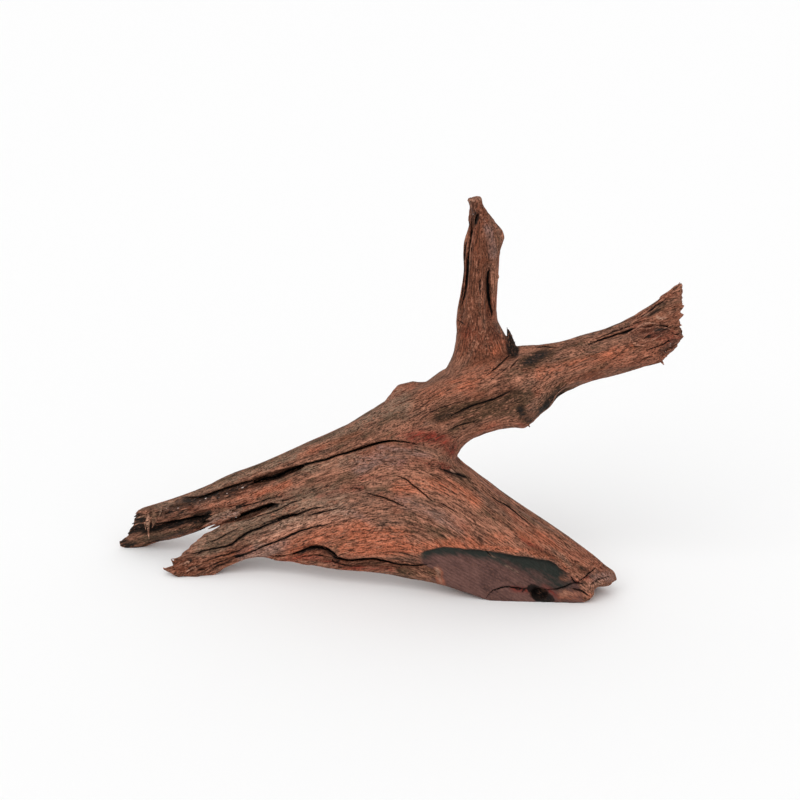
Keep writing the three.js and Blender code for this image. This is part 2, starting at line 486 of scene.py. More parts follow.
MARKS = (
    Mark(Cut.GROOVE, ((256, 482), (266, 478), (280, 475), (294, 470), (306, 465)), 2.4, 3),
    Mark(Cut.CRACK, (
        (246, 485), (262, 480), (280, 475), (300, 466), (326, 459), (350, 452), (370, 445),
        (389, 441), (405, 442), (424, 445),
    ), 1.3, 5),
    Mark(Cut.STEP, (
        (178, 498), (188, 496), (199, 496), (210, 493), (221, 489), (232, 486), (244, 482),
        (260, 477), (275, 474),
    ), 8, 2.4),
    Mark(Cut.CRACK, (
        (186, 497), (199, 497), (210, 494), (221, 490), (232, 487), (244, 483), (260, 478),
    ), 0.9, 2),
    Mark(Cut.STEP, (
        (140, 524), (157, 522), (166, 521), (176, 520), (187, 518), (200, 515), (214, 511),
    ), 8, 5),
    Mark(Cut.STEP, (
        (221, 509), (208, 514), (215, 516), (204, 520), (212, 522), (203, 526), (212, 529),
        (220, 530),
    ), 9, 4.5),
    Mark(Cut.CRACK, (
        (146, 524), (157, 523), (166, 522), (176, 521), (187, 519), (212, 514),
    ), 1.3, 3),
    Mark(Cut.CRACK, ((220, 513), (237, 508), (257, 502), (280, 496)), 0.9, 2),
    Mark(Cut.CRACK, (
        (207, 529), (220, 524), (232, 519), (244, 514), (255, 510), (268, 506), (280, 502),
        (295, 497),
    ), 1.6, 4),
    Mark(Cut.CRACK, (
        (188, 554), (202, 551), (216, 549), (232, 544), (245, 534), (258, 529), (273, 522),
        (291, 516), (310, 510), (330, 506),
    ), 1.6, 4),
    Mark(Cut.CRACK, (
        (234, 558), (249, 553), (270, 544), (286, 537), (299, 532), (312, 528), (331, 523),
    ), 1.4, 3.2),
    Mark(Cut.CRACK, ((258, 526), (273, 520), (294, 513), (305, 508)), 1.0, 2),
    Mark(Cut.CRACK, ((302, 518), (319, 513), (339, 507)), 1.0, 2.2),
    Mark(Cut.CRACK, ((245, 520), (275, 511), (292, 503), (306, 499)), 0.9, 1.6),
    Mark(Cut.CRACK, ((205, 545), (222, 537), (240, 528)), 0.8, 1.6),
    Mark(Cut.CRACK, ((200, 562), (222, 556), (240, 549), (258, 541)), 0.8, 1.6),
    Mark(Cut.CRACK, ((396, 476), (406, 480), (416, 488), (433, 501)), 0.9, 2.6),
    Mark(Cut.CRACK, ((438, 502), (447, 507), (457, 512)), 0.7, 1.0),
    Mark(Cut.CRACK, ((364, 492), (375, 496), (386, 499), (407, 508)), 0.9, 2.6),
    Mark(Cut.CRACK, ((348, 489), (354, 488), (362, 488)), 0.8, 1.2),
    Mark(Cut.CRACK, ((436, 469), (448, 472), (458, 475), (470, 480)), 1.0, 1.6),
    Mark(Cut.CRACK, ((488, 495), (496, 500), (507, 506), (518, 515), (528, 522)), 0.9, 2.0),
    Mark(Cut.CRACK, ((447, 418), (460, 411), (474, 405), (495, 398), (516, 389)), 1.2, 2.4),
    Mark(Cut.CRACK, ((447, 432), (461, 425), (478, 419)), 1.0, 2.0),
    Mark(Cut.CRACK, ((420, 419), (438, 409), (465, 401)), 0.6, 1.0),
    Mark(Cut.CRACK, ((486, 375), (500, 364), (511, 353)), 0.9, 2.0),
    Mark(Cut.CRACK, ((509, 369), (514, 364), (519, 359)), 0.9, 2.0),
    Mark(Cut.CRACK, ((490, 380), (502, 371), (508, 366)), 0.6, 1.0),
    Mark(Cut.CRACK, ((586, 345), (607, 338), (629, 331), (655, 327), (682, 328)), 1.3, 3),
    Mark(Cut.CRACK, ((640, 318), (656, 306), (670, 296)), 0.9, 2),
    Mark(Cut.CRACK, ((590, 341), (612, 333), (634, 324), (650, 319)), 0.8, 1.6),
    Mark(Cut.CRACK, ((642, 351), (656, 347), (669, 341), (681, 332)), 0.9, 1.8),
    Mark(Cut.STEP, ((539, 411), (546, 400), (558, 391), (572, 386)), 7, 2.2),
    Mark(Cut.CRACK, ((534, 348), (545, 347), (557, 348)), 0.8, 1.4),
    Mark(Cut.CRACK, ((472, 221), (471, 247), (468, 270), (465, 292), (462, 306)), 1.8, 4.5),
    Mark(Cut.CRACK, ((467, 236), (464, 267), (462, 292), (459, 310)), 1.1, 2.5),
    Mark(Cut.CRACK, ((489, 268), (488, 281), (489, 296), (492, 316)), 2.3, 5),
    Mark(Cut.CRACK, ((482, 276), (480, 284), (480, 294)), 0.9, 1.4),
    Mark(Cut.CRACK, ((457, 319), (461, 322), (466, 325)), 0.9, 1.6),
    Mark(Cut.CRACK, ((482, 211), (478, 215), (476, 221), (473, 230)), 1.0, 2.4),
    Mark(Cut.STEP, (
        (262, 557), (271, 556), (288, 554), (302, 550), (313, 545), (326, 547), (333, 552),
        (339, 557), (356, 559), (376, 558), (400, 564), (431, 563),
    ), 7, 4),
    Mark(Cut.CRACK, (
        (271, 557), (288, 555), (302, 551), (313, 547), (326, 549), (333, 553), (339, 558),
        (356, 560), (376, 559), (400, 565), (431, 564),
    ), 1.4, 3),
    Mark(Cut.CRACK, (
        (290, 560), (308, 556), (322, 556), (338, 563), (352, 566), (372, 569),
    ), 0.9, 2),
    Mark(Cut.STEP, (
        (418, 554), (428, 550), (446, 547), (470, 549), (500, 553), (545, 560), (560, 568),
        (578, 582),
    ), 8, 2.0),
    Mark(Cut.CRACK, ((486, 598), (493, 591), (506, 587), (515, 588), (530, 589)), 0.9, 2.2),
    Mark(Cut.CRACK, ((544, 589), (559, 588), (571, 584), (580, 582)), 0.9, 2.2),
    Mark(Cut.STEP, ((566, 565), (576, 570), (588, 573), (600, 569)), 5, 1.4),
    Mark(Cut.CRACK, ((572, 588), (582, 591), (591, 597)), 1.1, 2.6),
    Mark(Cut.CRACK, ((570, 576), (575, 582), (584, 584)), 0.9, 2.2),
    Mark(Cut.CRACK, ((484, 549), (488, 553), (492, 557)), 0.7, 1.2),
    Mark(Cut.CRACK, ((578, 582), (588, 574), (600, 566)), 0.9, 2),
    Mark(Cut.CRACK, ((590, 585), (600, 579), (610, 577)), 0.8, 1.6),
)

DENTS = (
    Dent((202, 518), (7, 4), -14, 3),
    Dent((272, 506), (6, 2.5), -20, 3),
    Dent((452, 473), (7, 2.5), 20, 1.4),
    Dent((536, 358), (14, 6), -24, 3.2),
    Dent((535, 591), (4, 4.5), 25, 3.6),
    Dent((543, 595), (4.5, 3.6), 35, 3.4),
    Dent((538, 599), (5, 3), 0, 3.2),
    Dent((517, 588), (2.6, 2), 0, 1.3),
    Dent((523, 590), (2.3, 2), 30, 1.5),
    Dent((528, 587), (2.2, 1.6), 0, 1.3),
    Dent((549, 591), (3, 1.8), 10, 1.4),
    Dent((563, 602), (2.6, 3.2), 0, 2.6),
    Dent((586, 578), (3.4, 2.2), 35, 1.6),
    Dent((651, 314), (6, 1.8), -28, 2.0),
    Dent((524, 415), (5, 6), -30, 2.4),
    Dent((551, 400), (10, 7), -50, 2),
    Dent((645, 335), (14, 6), -15, 3.2),
    Dent((478, 216), (3, 4), 50, 2.5),
    Dent((441, 417), (8, 3), -25, 1.2),
    Dent((136, 528), (8, 3), -20, 1.0),
    Dent((184, 563), (5, 2.6), -25, 2.4),
    Dent((191, 568), (4.5, 2.4), -15, 2.0),
    Dent((179, 570), (4, 2.2), 10, 1.8),
    Dent((187, 557), (4, 2), -30, 1.6),
)

NUDGES = (
    Nudge((230, 476), (72, 13), -21, (-0.6, -2.2)),
    Nudge((462, 290), (85, 9), 96, (-3.0, 0)),
    Nudge((447, 368), (14, 8), 140, (-2.0, -1.6)),
    Nudge((501, 325), (14, 6), 75, (-2.2, 0)),
    Nudge((632, 318), (34, 9), -27, (-1.0, -2.8)),
    Nudge((545, 345), (34, 8), -6, (0, -1.3)),
    Nudge((468, 442), (9, 6), -30, (-1.2, -1.2)),
    Nudge((459, 452), (8, 8), 0, (-3.2, 0)),
    Nudge((464, 446), (7, 5), -45, (-2.8, -1.8)),
    Nudge((464, 462), (8, 5), 45, (-2.2, 1.7)),
    Nudge((474, 467), (18, 6), 40, (-1.3, 1.5)),
    Nudge((545, 518), (55, 7), 37, (-0.8, 0.9)),
    Nudge((611, 574), (7, 8), 60, (3.0, 0)),
    Nudge((601, 594), (8, 7), -40, (-4.0, -4.5)),
    Nudge((438, 588), (36, 9), 17, (0.4, -2.6)),
    Nudge((502, 601), (30, 6), 0, (0, 1.6)),
    Nudge((243, 566), (27, 12), -14, (0, -2.0)),
    Nudge((204, 538), (11, 6), -38, (-1.5, -3.4)),
    Nudge((220, 526), (14, 6), -25, (-0.6, -1.6)),
    Nudge((124, 537), (9, 8), 0, (-2.4, -0.6)),
    Nudge((132, 547), (16, 6), -5, (0, 2.2)),
    Nudge((137, 513), (7, 7), 0, (-2.2, -1.0)),
    Nudge((549, 404), (9, 7), -45, (1.9, 2.3)),
    Nudge((533, 421), (6, 6), -50, (-2.0, -1.6)),
    Nudge((188, 575), (18, 6), 0, (0, 1.6)),
    Nudge((418, 383), (14, 6), 0, (0, 1.4)),
    Nudge((278, 560), (10, 5), 5, (0, 2.5)),
    Nudge((304, 565), (9, 5), 5, (0, 2.2)),
    Nudge((131, 526), (6, 6), 0, (-3.0, -2.0)),
    Nudge((577, 389), (14, 5), -15, (0, 1.8)),
    Nudge((669, 356), (7, 6), -40, (-1.5, -2.5)),
    Nudge((680, 336), (6, 8), 0, (2.5, 0)),
    Nudge((680, 321), (5, 5), 0, (-2.5, 0)),
)

STAINS = {
    Tint.UMBER: streaks(
        (((475, 200), (478, 240), (475, 280), (474, 310)), 17, 1.15),
        (((466, 326), (482, 336), (498, 342)), 16, 1.2),
        (((640, 336), (660, 326), (676, 314)), 16, 0.6),
        (((440, 415), (475, 405), (510, 396)), 14, 0.8),
        (((182, 568), (210, 561), (240, 550)), 10, 1.2),
        (((462, 346), (484, 352), (502, 350)), 13, 1.3),
        (((560, 385), (600, 372), (640, 362)), 5, 0.7),
    ),
    Tint.RUST: streaks(
        (((408, 436), (424, 436), (440, 440), (452, 448)), 11, 0.65),
        (((412, 432), (430, 434), (448, 442)), 6, 0.5),
        (((446, 445), (452, 451), (455, 458)), 5, 0.5),
        (((446, 450), (464, 446), (482, 436), (500, 427)), 7, 0.4),
        (((402, 466), (425, 463), (446, 468)), 8, 0.5),
        (((468, 332), (484, 338), (500, 336)), 12, 0.3),
        (((360, 478), (372, 476), (386, 478)), 4, 0.4),
        (((282, 560), (312, 557), (345, 567), (390, 569)), 5, 0.5),
        (((513, 588), (524, 590), (533, 588)), 4, 0.6),
        (((545, 588), (552, 592), (556, 597)), 4, 0.6),
        (((577, 582), (583, 579), (588, 577)), 2.6, 0.7),
        (((667, 343), (676, 340), (682, 337)), 3.4, 0.5),
        (((572, 581), (580, 579), (588, 582)), 3, 0.35),
        (((518, 425), (524, 425), (529, 424)), 2.5, 0.45),
        (((520, 540), (545, 553), (560, 562)), 4, 0.5),
        (((636, 330), (660, 334), (678, 340)), 9, 0.45),
        (((318, 497), (345, 489), (362, 487)), 5, 0.4),
    ),
    Tint.EMBER: streaks(
        (((295, 548), (330, 533), (360, 532), (400, 542)), 13, 1.0),
        (((345, 548), (380, 550), (420, 548), (470, 545)), 8, 0.9),
        (((470, 546), (510, 549), (548, 556), (566, 568)), 4, 0.9),
        (((270, 541), (300, 528), (330, 520)), 6, 0.6),
        (((400, 488), (440, 486), (475, 500)), 10, 0.7),
        (((490, 540), (530, 536), (560, 545)), 9, 0.6),
        (((190, 509), (225, 504), (244, 498), (270, 489), (290, 483)), 3.4, 1.0),
        (((300, 456), (330, 444), (360, 432)), 4, 0.7),
        (((425, 398), (455, 386), (490, 372)), 11, 0.6),
        (((540, 375), (590, 360), (630, 348)), 8, 0.6),
        (((494, 352), (503, 345), (508, 340)), 5, 0.8),
        (((437, 569), (440, 579), (443, 588)), 3.4, 1.5),
        (((205, 566), (235, 556), (250, 549)), 4, 0.5),
        (((562, 595), (574, 594), (587, 595)), 6, 0.8),
        (((564, 578), (578, 577), (590, 582)), 5, 0.6),
    ),
    # Mossy olive, and painted shade in the same olive: under the lip, along the top edge, in the
    # fork and in the dents.
    Tint.MOSS_AND_SHADE: streaks(
        (((440, 414), (470, 408), (500, 402), (530, 394)), 9, 1.1),
        (((452, 428), (480, 416), (510, 408)), 6, 1.0),
        (((200, 488), (260, 463), (320, 437), (380, 402)), 4, 0.9),
        (((300, 458), (340, 447), (372, 433)), 3, 0.6),
        (((130, 545), (165, 537), (198, 527)), 7, 0.9),
        (((484, 512), (500, 520), (512, 525)), 7, 0.4),
        (((290, 500), (330, 486), (350, 482)), 7, 0.5),
        (((400, 571), (420, 571), (436, 573)), 5, 0.9),
        (((408, 400), (430, 398), (450, 404)), 6, 0.5),
        (((530, 548), (556, 558), (580, 568)), 4, 0.6),
        (((205, 522), (220, 519), (236, 514)), 6, 1.3),
        (((524, 364), (535, 358), (548, 352)), 7, 1.3),
        (((518, 406), (524, 415), (530, 421)), 7, 1.2),
        (((540, 411), (551, 403), (562, 391)), 9, 1.3),
        (((330, 446), (360, 432), (400, 416)), 8, 0.6),
        (((210, 548), (245, 531), (290, 512)), 9, 0.5),
        (((180, 569), (205, 564), (232, 557)), 6, 0.5),
    ),
    # Charred black, and painted shadow in the same black: under the upper prong and the lip,
    # along the groove, in the holes and pits and between the fan's curls.
    Tint.CHAR_AND_SHADE: streaks(
        (((146, 528), (166, 526), (188, 522), (208, 517)), 3.4, 1.3),
        (((126, 531), (136, 528), (146, 528)), 5.5, 1.4),
        (((132, 514), (139, 518), (146, 522)), 5.5, 1.2),
        (((121, 539), (124, 545), (134, 548)), 6, 1.3),
        (((528, 362), (535, 358), (544, 354)), 4.6, 0.9),
        (((510, 328), (512, 340), (513, 352)), 5, 2.4),
        (((541, 410), (551, 403), (559, 393)), 6, 0.85),
        (((520, 409), (524, 415), (529, 420)), 4, 0.9),
        (((196, 519), (203, 517), (209, 514)), 4, 1.5),
        (((435, 420), (442, 417), (449, 414)), 3.4, 0.5),
        (((444, 471), (453, 473), (464, 477)), 2, 0.9),
        (((531, 588), (536, 590), (540, 592)), 3.4, 2.8),
        (((540, 592), (545, 595), (550, 600)), 3.2, 2.8),
        (((535, 594), (539, 598), (545, 602)), 3.4, 2.8),
        (((514, 587), (518, 590), (520, 588)), 1.0, 0.8),
        (((522, 592), (525, 588), (529, 590)), 1.0, 0.8),
        (((574, 566), (581, 568), (588, 571)), 3.4, 0.5),
        (((590, 577), (596, 574), (602, 572)), 3.4, 0.5),
        (((644, 317), (651, 314), (658, 310)), 1.8, 0.9),
        (((636, 340), (642, 338), (649, 336)), 1.8, 1.1),
        (((655, 331), (660, 329), (666, 328)), 1.8, 1.0),
        (((623, 333), (628, 331), (632, 329)), 2.0, 1.2),
        (((681, 326), (683, 334), (681, 341)), 2.0, 0.8),
        (((262, 480), (280, 475), (300, 467)), 3, 1.1),
        (((268, 507), (273, 506), (277, 504)), 2.5, 1.2),
        (((477, 213), (478, 217), (476, 222)), 2, 1.1),
        (((180, 569), (185, 564), (190, 560)), 2.6, 0.9),
        (((187, 570), (192, 567), (197, 566)), 2, 0.7),
        (((186, 500), (224, 493), (262, 481)), 4, 0.6),
        (((300, 553), (313, 549), (328, 551), (338, 560)), 2.4, 1.1),
    ),
    Tint.SLATE: streaks(
        (((360, 466), (380, 460), (402, 462)), 9, 0.9),
        (((380, 448), (410, 452), (430, 456)), 5, 0.6),
        (((243, 556), (265, 550), (285, 544)), 6, 1.8),
        (((400, 500), (430, 512), (460, 526)), 10, 0.5),
        (((592, 579), (602, 576), (610, 578)), 6, 1.1),
        (((488, 228), (492, 242), (494, 256)), 5, 0.8),
        (((345, 512), (360, 516), (372, 524)), 5, 0.6),
        (((210, 522), (224, 518), (238, 512)), 4, 0.8),
    ),
    Tint.DUST: streaks(
        (((165, 501), (240, 470), (300, 448)), 11, 1.3),
        (((300, 440), (350, 422), (398, 404)), 15, 1.1),
        (((205, 544), (240, 529), (290, 509), (335, 497)), 14, 1.1),
        (((145, 541), (175, 535), (200, 528)), 6, 0.7),
        (((208, 521), (222, 517), (240, 510)), 5, 1.0),
        (((300, 470), (330, 465), (356, 458)), 8, 0.6),
    ),
    # A wet dark brown, and painted shade in the same brown among the fan's curls and in the
    # dents.
    Tint.WET_AND_SHADE: streaks(
        (((180, 502), (205, 498), (224, 493), (246, 486), (266, 481)), 5, 1.4),
        (((162, 512), (180, 508), (198, 506)), 7, 0.8),
        (((150, 543), (175, 536), (200, 528)), 4, 0.6),
        (((662, 352), (671, 346), (680, 336)), 4, 1.0),
        (((632, 337), (648, 331), (664, 332)), 7, 0.7),
        (((178, 572), (195, 567), (215, 566)), 5, 0.6),
        (((470, 318), (484, 328), (498, 334)), 12, 0.5),
        (((524, 364), (535, 358), (548, 352)), 6, 0.6),
        (((519, 407), (524, 415), (529, 421)), 5, 0.5),
        (((540, 411), (551, 403), (561, 392)), 7, 0.5),
        (((472, 203), (474, 210), (471, 224)), 3.5, 1.0),
    ),
    Tint.BLEACH: streaks(
        (((469, 200), (475, 199), (481, 198)), 2.4, 0.8),
        (((246, 556), (262, 553), (284, 548)), 5, 0.3),
        (((264, 540), (300, 524), (342, 512)), 16, 0.5),
        (((562, 594), (574, 593), (586, 594)), 5, 0.5),
        (((566, 578), (578, 577), (588, 581)), 5, 0.35),
        (((437, 569), (440, 579), (443, 588)), 3, 0.6),
        (((196, 508), (225, 504), (252, 496)), 4, 0.4),
        (((450, 470), (453, 472), (455, 474)), 1, 0.9),
        (((489, 554), (509, 566), (532, 582)), 1.3, 0.45),
        (((584, 583), (594, 584), (602, 582)), 3.4, 0.5),
        (((657, 317), (661, 319), (665, 318)), 1.5, 0.8),
        (((643, 317), (646, 315), (649, 314)), 1.2, 0.8),
    ),
}

SPLINTERS = (
    # Strips that hang at the left end, and the tips of its planks.
    Splinter(((149, 510), (147, 524), (149, 539)), 3.2, 2.5, 0.4),
    Splinter(((146, 512), (144, 521), (146, 531)), 2.0, 2.5, 0.35),
    Splinter(((154, 508), (156, 517), (152, 528)), 4.6, 2.5, 0.05),
    Splinter(((160, 505), (162, 510), (159, 517)), 2.4, 2, 0.2),
    Splinter(((149, 512), (141, 513), (134, 517)), 3.4, 1.5, 0.0),
    Splinter(((149, 519), (141, 520), (132, 524)), 3.2, 1.5, 0.0),
    Splinter(((148, 511), (141, 511), (135, 514)), 1.8, 2, 0.3),
    Splinter(((148, 516), (142, 516), (134, 519)), 1.7, 2, 0.4),
    Splinter(((146, 522), (139, 522), (133, 526)), 1.7, 2, 0.3),
    # Slivers under the root's lip.
    Splinter(((338, 566), (318, 563), (298, 561)), 3.6, 1, 0.3, 4),
    Splinter(((388, 569), (366, 568), (342, 567)), 3.2, 0.8, 0.1, 4),
    Splinter(((332, 559), (314, 556), (294, 559)), 3.0, 1, 0.15, 4),
    Splinter(((302, 556), (286, 557), (271, 559)), 3.2, 0.8, 0.0, 4),
    # Torn tips in the fork.
    Splinter(((230, 517), (216, 521), (202, 527)), 5.0, 2, 0.1),
    Splinter(((232, 512), (219, 515), (206, 520)), 4.6, 2, 0.15),
    Splinter(((236, 508), (223, 511), (210, 515)), 4.0, 2, 0.1),
    Splinter(((236, 518), (222, 523), (208, 529)), 3.4, 2, 0.05),
    Splinter(((240, 513), (227, 517), (214, 523)), 3.6, 2.5, 0.2),
    Splinter(((282, 502), (277, 503), (271, 502)), 1.6, 2, 0.2),
    # Spurs of the root's tip.
    Splinter(((190, 573), (175, 575), (163, 568)), 5.0, 1, 0.1),
    Splinter(((187, 570), (176, 568), (171, 559)), 5.6, 1.5, 0.1),
    Splinter(((188, 569), (178, 567), (174, 560)), 5.0, 1.5, 0.1),
    Splinter(((189, 566), (183, 565), (178, 562)), 2.4, 2, 0.3),
    Splinter(((190, 562), (183, 563), (178, 566)), 1.8, 2, 0.5),
    Splinter(((196, 567), (190, 569), (186, 572)), 1.6, 2, 0.6),
    Splinter(((199, 556), (192, 555), (186, 558)), 1.8, 2, 0.2),
    # The black shard beside the branch, and slivers of the branch.
    Splinter(((511, 356), (509, 342), (507, 327)), 2.6, 2, 0.0),
    Splinter(((513, 356), (512, 345), (512, 335)), 2.4, 2, 0.0),
    Splinter(((515, 356), (514, 350), (515, 341)), 1.8, 2, 0.0),
    Splinter(((503, 346), (502, 336), (500, 327)), 2.4, 1, 0.3),
    Splinter(((496, 282), (499, 278), (497, 270)), 2.0, 1, 0.3),
    Splinter(((485, 222), (481, 216), (478, 210)), 2.2, 1.5, 0.3),
    Splinter(((475, 201), (471, 199), (467, 201)), 1.6, 1, 0.8),
    # Curls and teeth of the limb's flared end.
    Splinter(((652, 353), (660, 358), (664, 365)), 3.4, 0.5, 0.0),
    Splinter(((661, 350), (666, 353), (667, 357)), 2.4, 0.5, 0.0),
    Splinter(((628, 334), (640, 326), (654, 329)), 2.4, 1.4, 0.4, 2),
    Splinter(((632, 343), (642, 340), (650, 332)), 2.4, 1.4, 0.4, 2),
    Splinter(((636, 328), (648, 320), (660, 325)), 2.4, 1.4, 0.4, 2),
    Splinter(((640, 340), (652, 343), (662, 334)), 2.4, 1.4, 0.4, 2),
    Splinter(((630, 338), (634, 347), (646, 345)), 2.2, 1.4, 0.4, 2),
    Splinter(((646, 330), (658, 324), (672, 330)), 2.4, 1.4, 0.35, 2),
    Splinter(((666, 298), (676, 290), (680, 282)), 2.8, 0, 0.1),
    Splinter(((668, 313), (676, 310), (681, 306)), 3.0, 0, 0.1),
    Splinter(((668, 327), (676, 325), (682, 325)), 3.4, 0, 0.1),
    Splinter(((666, 336), (675, 337), (682, 338)), 4.4, 0, 0.1),
    # The foot's right end and the underside of the limb.
    Splinter(((596, 568), (602, 566), (602, 562)), 2.0, 0.5, 0.2),
    Splinter(((519, 419), (526, 422), (530, 427)), 3.2, 0.5, 0.0),
)


@dataclass(frozen=True)
class WoodFinish:
    """Colours of the weathered wood, and the shade and highlights painted into them.

    A pair of bounds gives where a pattern's value starts to show and where it shows in full.
    """

    light: Colour = srgb(160, 108, 86)
    middle: Colour = srgb(118, 78, 61)
    deep: Colour = srgb(72, 44, 33)
    ash: Colour = srgb(102, 77, 64)
    olive: Colour = srgb(78, 60, 44)
    fleck: Colour = srgb(186, 128, 102)
    pore: Colour = srgb(40, 22, 16)
    russet: Colour = srgb(138, 80, 60)
    umber: Colour = srgb(96, 52, 35)
    dust: Colour = srgb(120, 98, 82)
    rust: Colour = srgb(112, 38, 28)
    ember: Colour = srgb(160, 88, 62)
    # Mossy olive, also laid as painted shade.
    moss_and_shade: Colour = srgb(60, 46, 32)
    # Charred black, also laid as painted shadow.
    char: Colour = srgb(20, 19, 17)
    slate: Colour = srgb(124, 96, 88)
    # Dark wet brown, also laid as painted shade.
    wet: Colour = srgb(56, 33, 23)
    bleach: Colour = srgb(168, 130, 110)
    glint: Colour = srgb(205, 186, 178)
    # The painted shade in the hollows and cracks.
    crack: Colour = srgb(13, 10, 9)
    sawn_light: Colour = srgb(110, 78, 71)
    sawn_dark: Colour = srgb(70, 49, 46)
    # Painted shade under the lip above the sawn face.
    sawn_lip_shade: Colour = srgb(40, 43, 39)
    most_noise: Point = (0.35, 0.65)
    wide_noise: Point = (0.3, 0.7)
    tone_fibres: float = 0.25
    middle_tones: Point = (0.36, 0.5)
    light_tones: Point = (0.5, 0.64)
    # Painted highlight on the skin's ridges: where it starts and shows in full, and its most.
    ridge_highlight_bounds: Point = (0.1, 0.7)
    ridge_highlight: float = 0.4
    saw_turn: float = 60.0
    saw_mottle: float = 0.7
    sawn_drift: Point = (-0.3, 0.3)
    sawn_band: Point = (0.15, 0.95)
    stain_fibres: float = 0.35
    stain_grain: Point = (0.38, 0.62)
    stain_streaks: Point = (0.3, 1.6)
    stain_bounds: Point = (0.08, 1.0)
    sawn_rough: float = 0.22
    stain_shows: Point = (0.2, 0.8)
    char_rough: float = 0.5
    speck_share: float = 0.42
    fine_bounds: Point = (0.34, 0.66)
    fine_shade: Point = (0.15, 1.85)
    rust_flecks: Point = (0.7, 0.15)
    mottle_bounds: Point = (0.6, 0.42)
    mottle_flecks: Point = (0.35, 1.0)
    band_bounds: Point = (0.1, 0.6)
    band_pores: Point = (0.15, 0.85)
    hair_pores: float = 0.7
    glint_wet: Point = (0.5, 0.9)
    hollow_bounds: Point = (0.1, 0.9)
    hollow_shade: float = 0.85
    split_shake: Point = (-0.3, 0.3)
    split_bounds: Point = (0.4, -0.3)
    dry_rough: Point = (0.9, 0.68)
    wet_bounds: Point = (0.3, 0.8)
    wet_rough: float = 0.3
    shine: float = 0.12
    fibre_bump: float = 0.4
    bump_height: float = 0.6
    pore_depth: float = 0.5


def rows_of(data: bpy.types.bpy_prop_collection, key: str) -> np.ndarray:
    """Reads a row of three numbers for each of a mesh's points.

    Args:
        data: The points, or the directions they face.
        key: What to read of each.

    Returns:
        One row per point.
    """
    flat = np.empty(len(data) * 3, np.float32)
    data.foreach_get(key, flat)
    return flat.reshape(-1, 3).astype(float)


def points_of(mesh: bpy.types.Mesh) -> np.ndarray:
    """Reads where a mesh's points lie, in metres."""
    return rows_of(mesh.vertices, "co")


def normals_of(mesh: bpy.types.Mesh) -> np.ndarray:
    """Reads the directions that a mesh's points face."""
    return rows_of(mesh.vertex_normals, "vector")


def values_of(mesh: bpy.types.Mesh, name: str) -> np.ndarray:
    """Reads a number per point from an attribute.

    Args:
        mesh: The mesh.
        name: The attribute.

    Returns:
        One value per point.
    """
    values = np.empty(len(mesh.vertices), np.float32)
    mesh.attributes[name].data.foreach_get("value", values)
    return values


def move_points(mesh: bpy.types.Mesh, points: np.ndarray) -> None:
    """Moves a mesh's points.

    Args:
        mesh: The mesh.
        points: Their new places, in metres.
    """
    mesh.vertices.foreach_set("co", points.astype(np.float32).ravel())
    mesh.update()


def lay_values(mesh: bpy.types.Mesh, name: str, values: np.ndarray) -> None:
    """Lays one number or vector per point into an attribute that a material can read.

    Args:
        mesh: The mesh.
        name: The attribute.
        values: One value or one row of three per point.
    """
    kind, key = ("FLOAT_VECTOR", "vector") if values.ndim == 2 else ("FLOAT", "value")
    attribute = mesh.attributes.get(name) or mesh.attributes.new(name, kind, "POINT")
    attribute.data.foreach_set(key, values.astype(np.float32).ravel())


def settle(piece: bpy.types.Object, kind: str, **values: object) -> None:
    """Adds a modifier to a piece and applies it.

    Args:
        piece: The piece.
        kind: The modifier's type.
        **values: Its settings.
    """
    modifier = piece.modifiers.new(kind.lower(), kind)
    for name, value in values.items():
        setattr(modifier, name, value)
    graph = bpy.context.evaluated_depsgraph_get()
    mesh = bpy.data.meshes.new_from_object(
        piece.evaluated_get(graph), preserve_all_data_layers=True, depsgraph=graph
    )
    piece.modifiers.clear()
    worn_out = piece.data
    piece.data = mesh
    bpy.data.meshes.remove(worn_out)


def smoothed_points(piece: bpy.types.Object, rounds: int) -> np.ndarray:
    """Gives where a piece's points would lie if its surface were smoothed.

    Args:
        piece: The piece, which is left as it is.
        rounds: How often each point is moved towards its neighbours.

    Returns:
        One row of metres per point.
    """
    modifier = piece.modifiers.new("smooth", "SMOOTH")
    modifier.factor = SMOOTHING
    modifier.iterations = rounds
    graph = bpy.context.evaluated_depsgraph_get()
    points = points_of(piece.evaluated_get(graph).data)
    piece.modifiers.remove(modifier)
    return points


@dataclass(frozen=True)
class Strand:
    """A pattern along the fibres, with the length and breadth of one swell in millimetres.

    Detail is how many finer layers it has, and rough how strong they are. Where bounds are
    given, its value is eased between them.
    """

    length: float
    breadth: float
    detail: float
    rough: float = 0.55
    bounds: Point | None = None


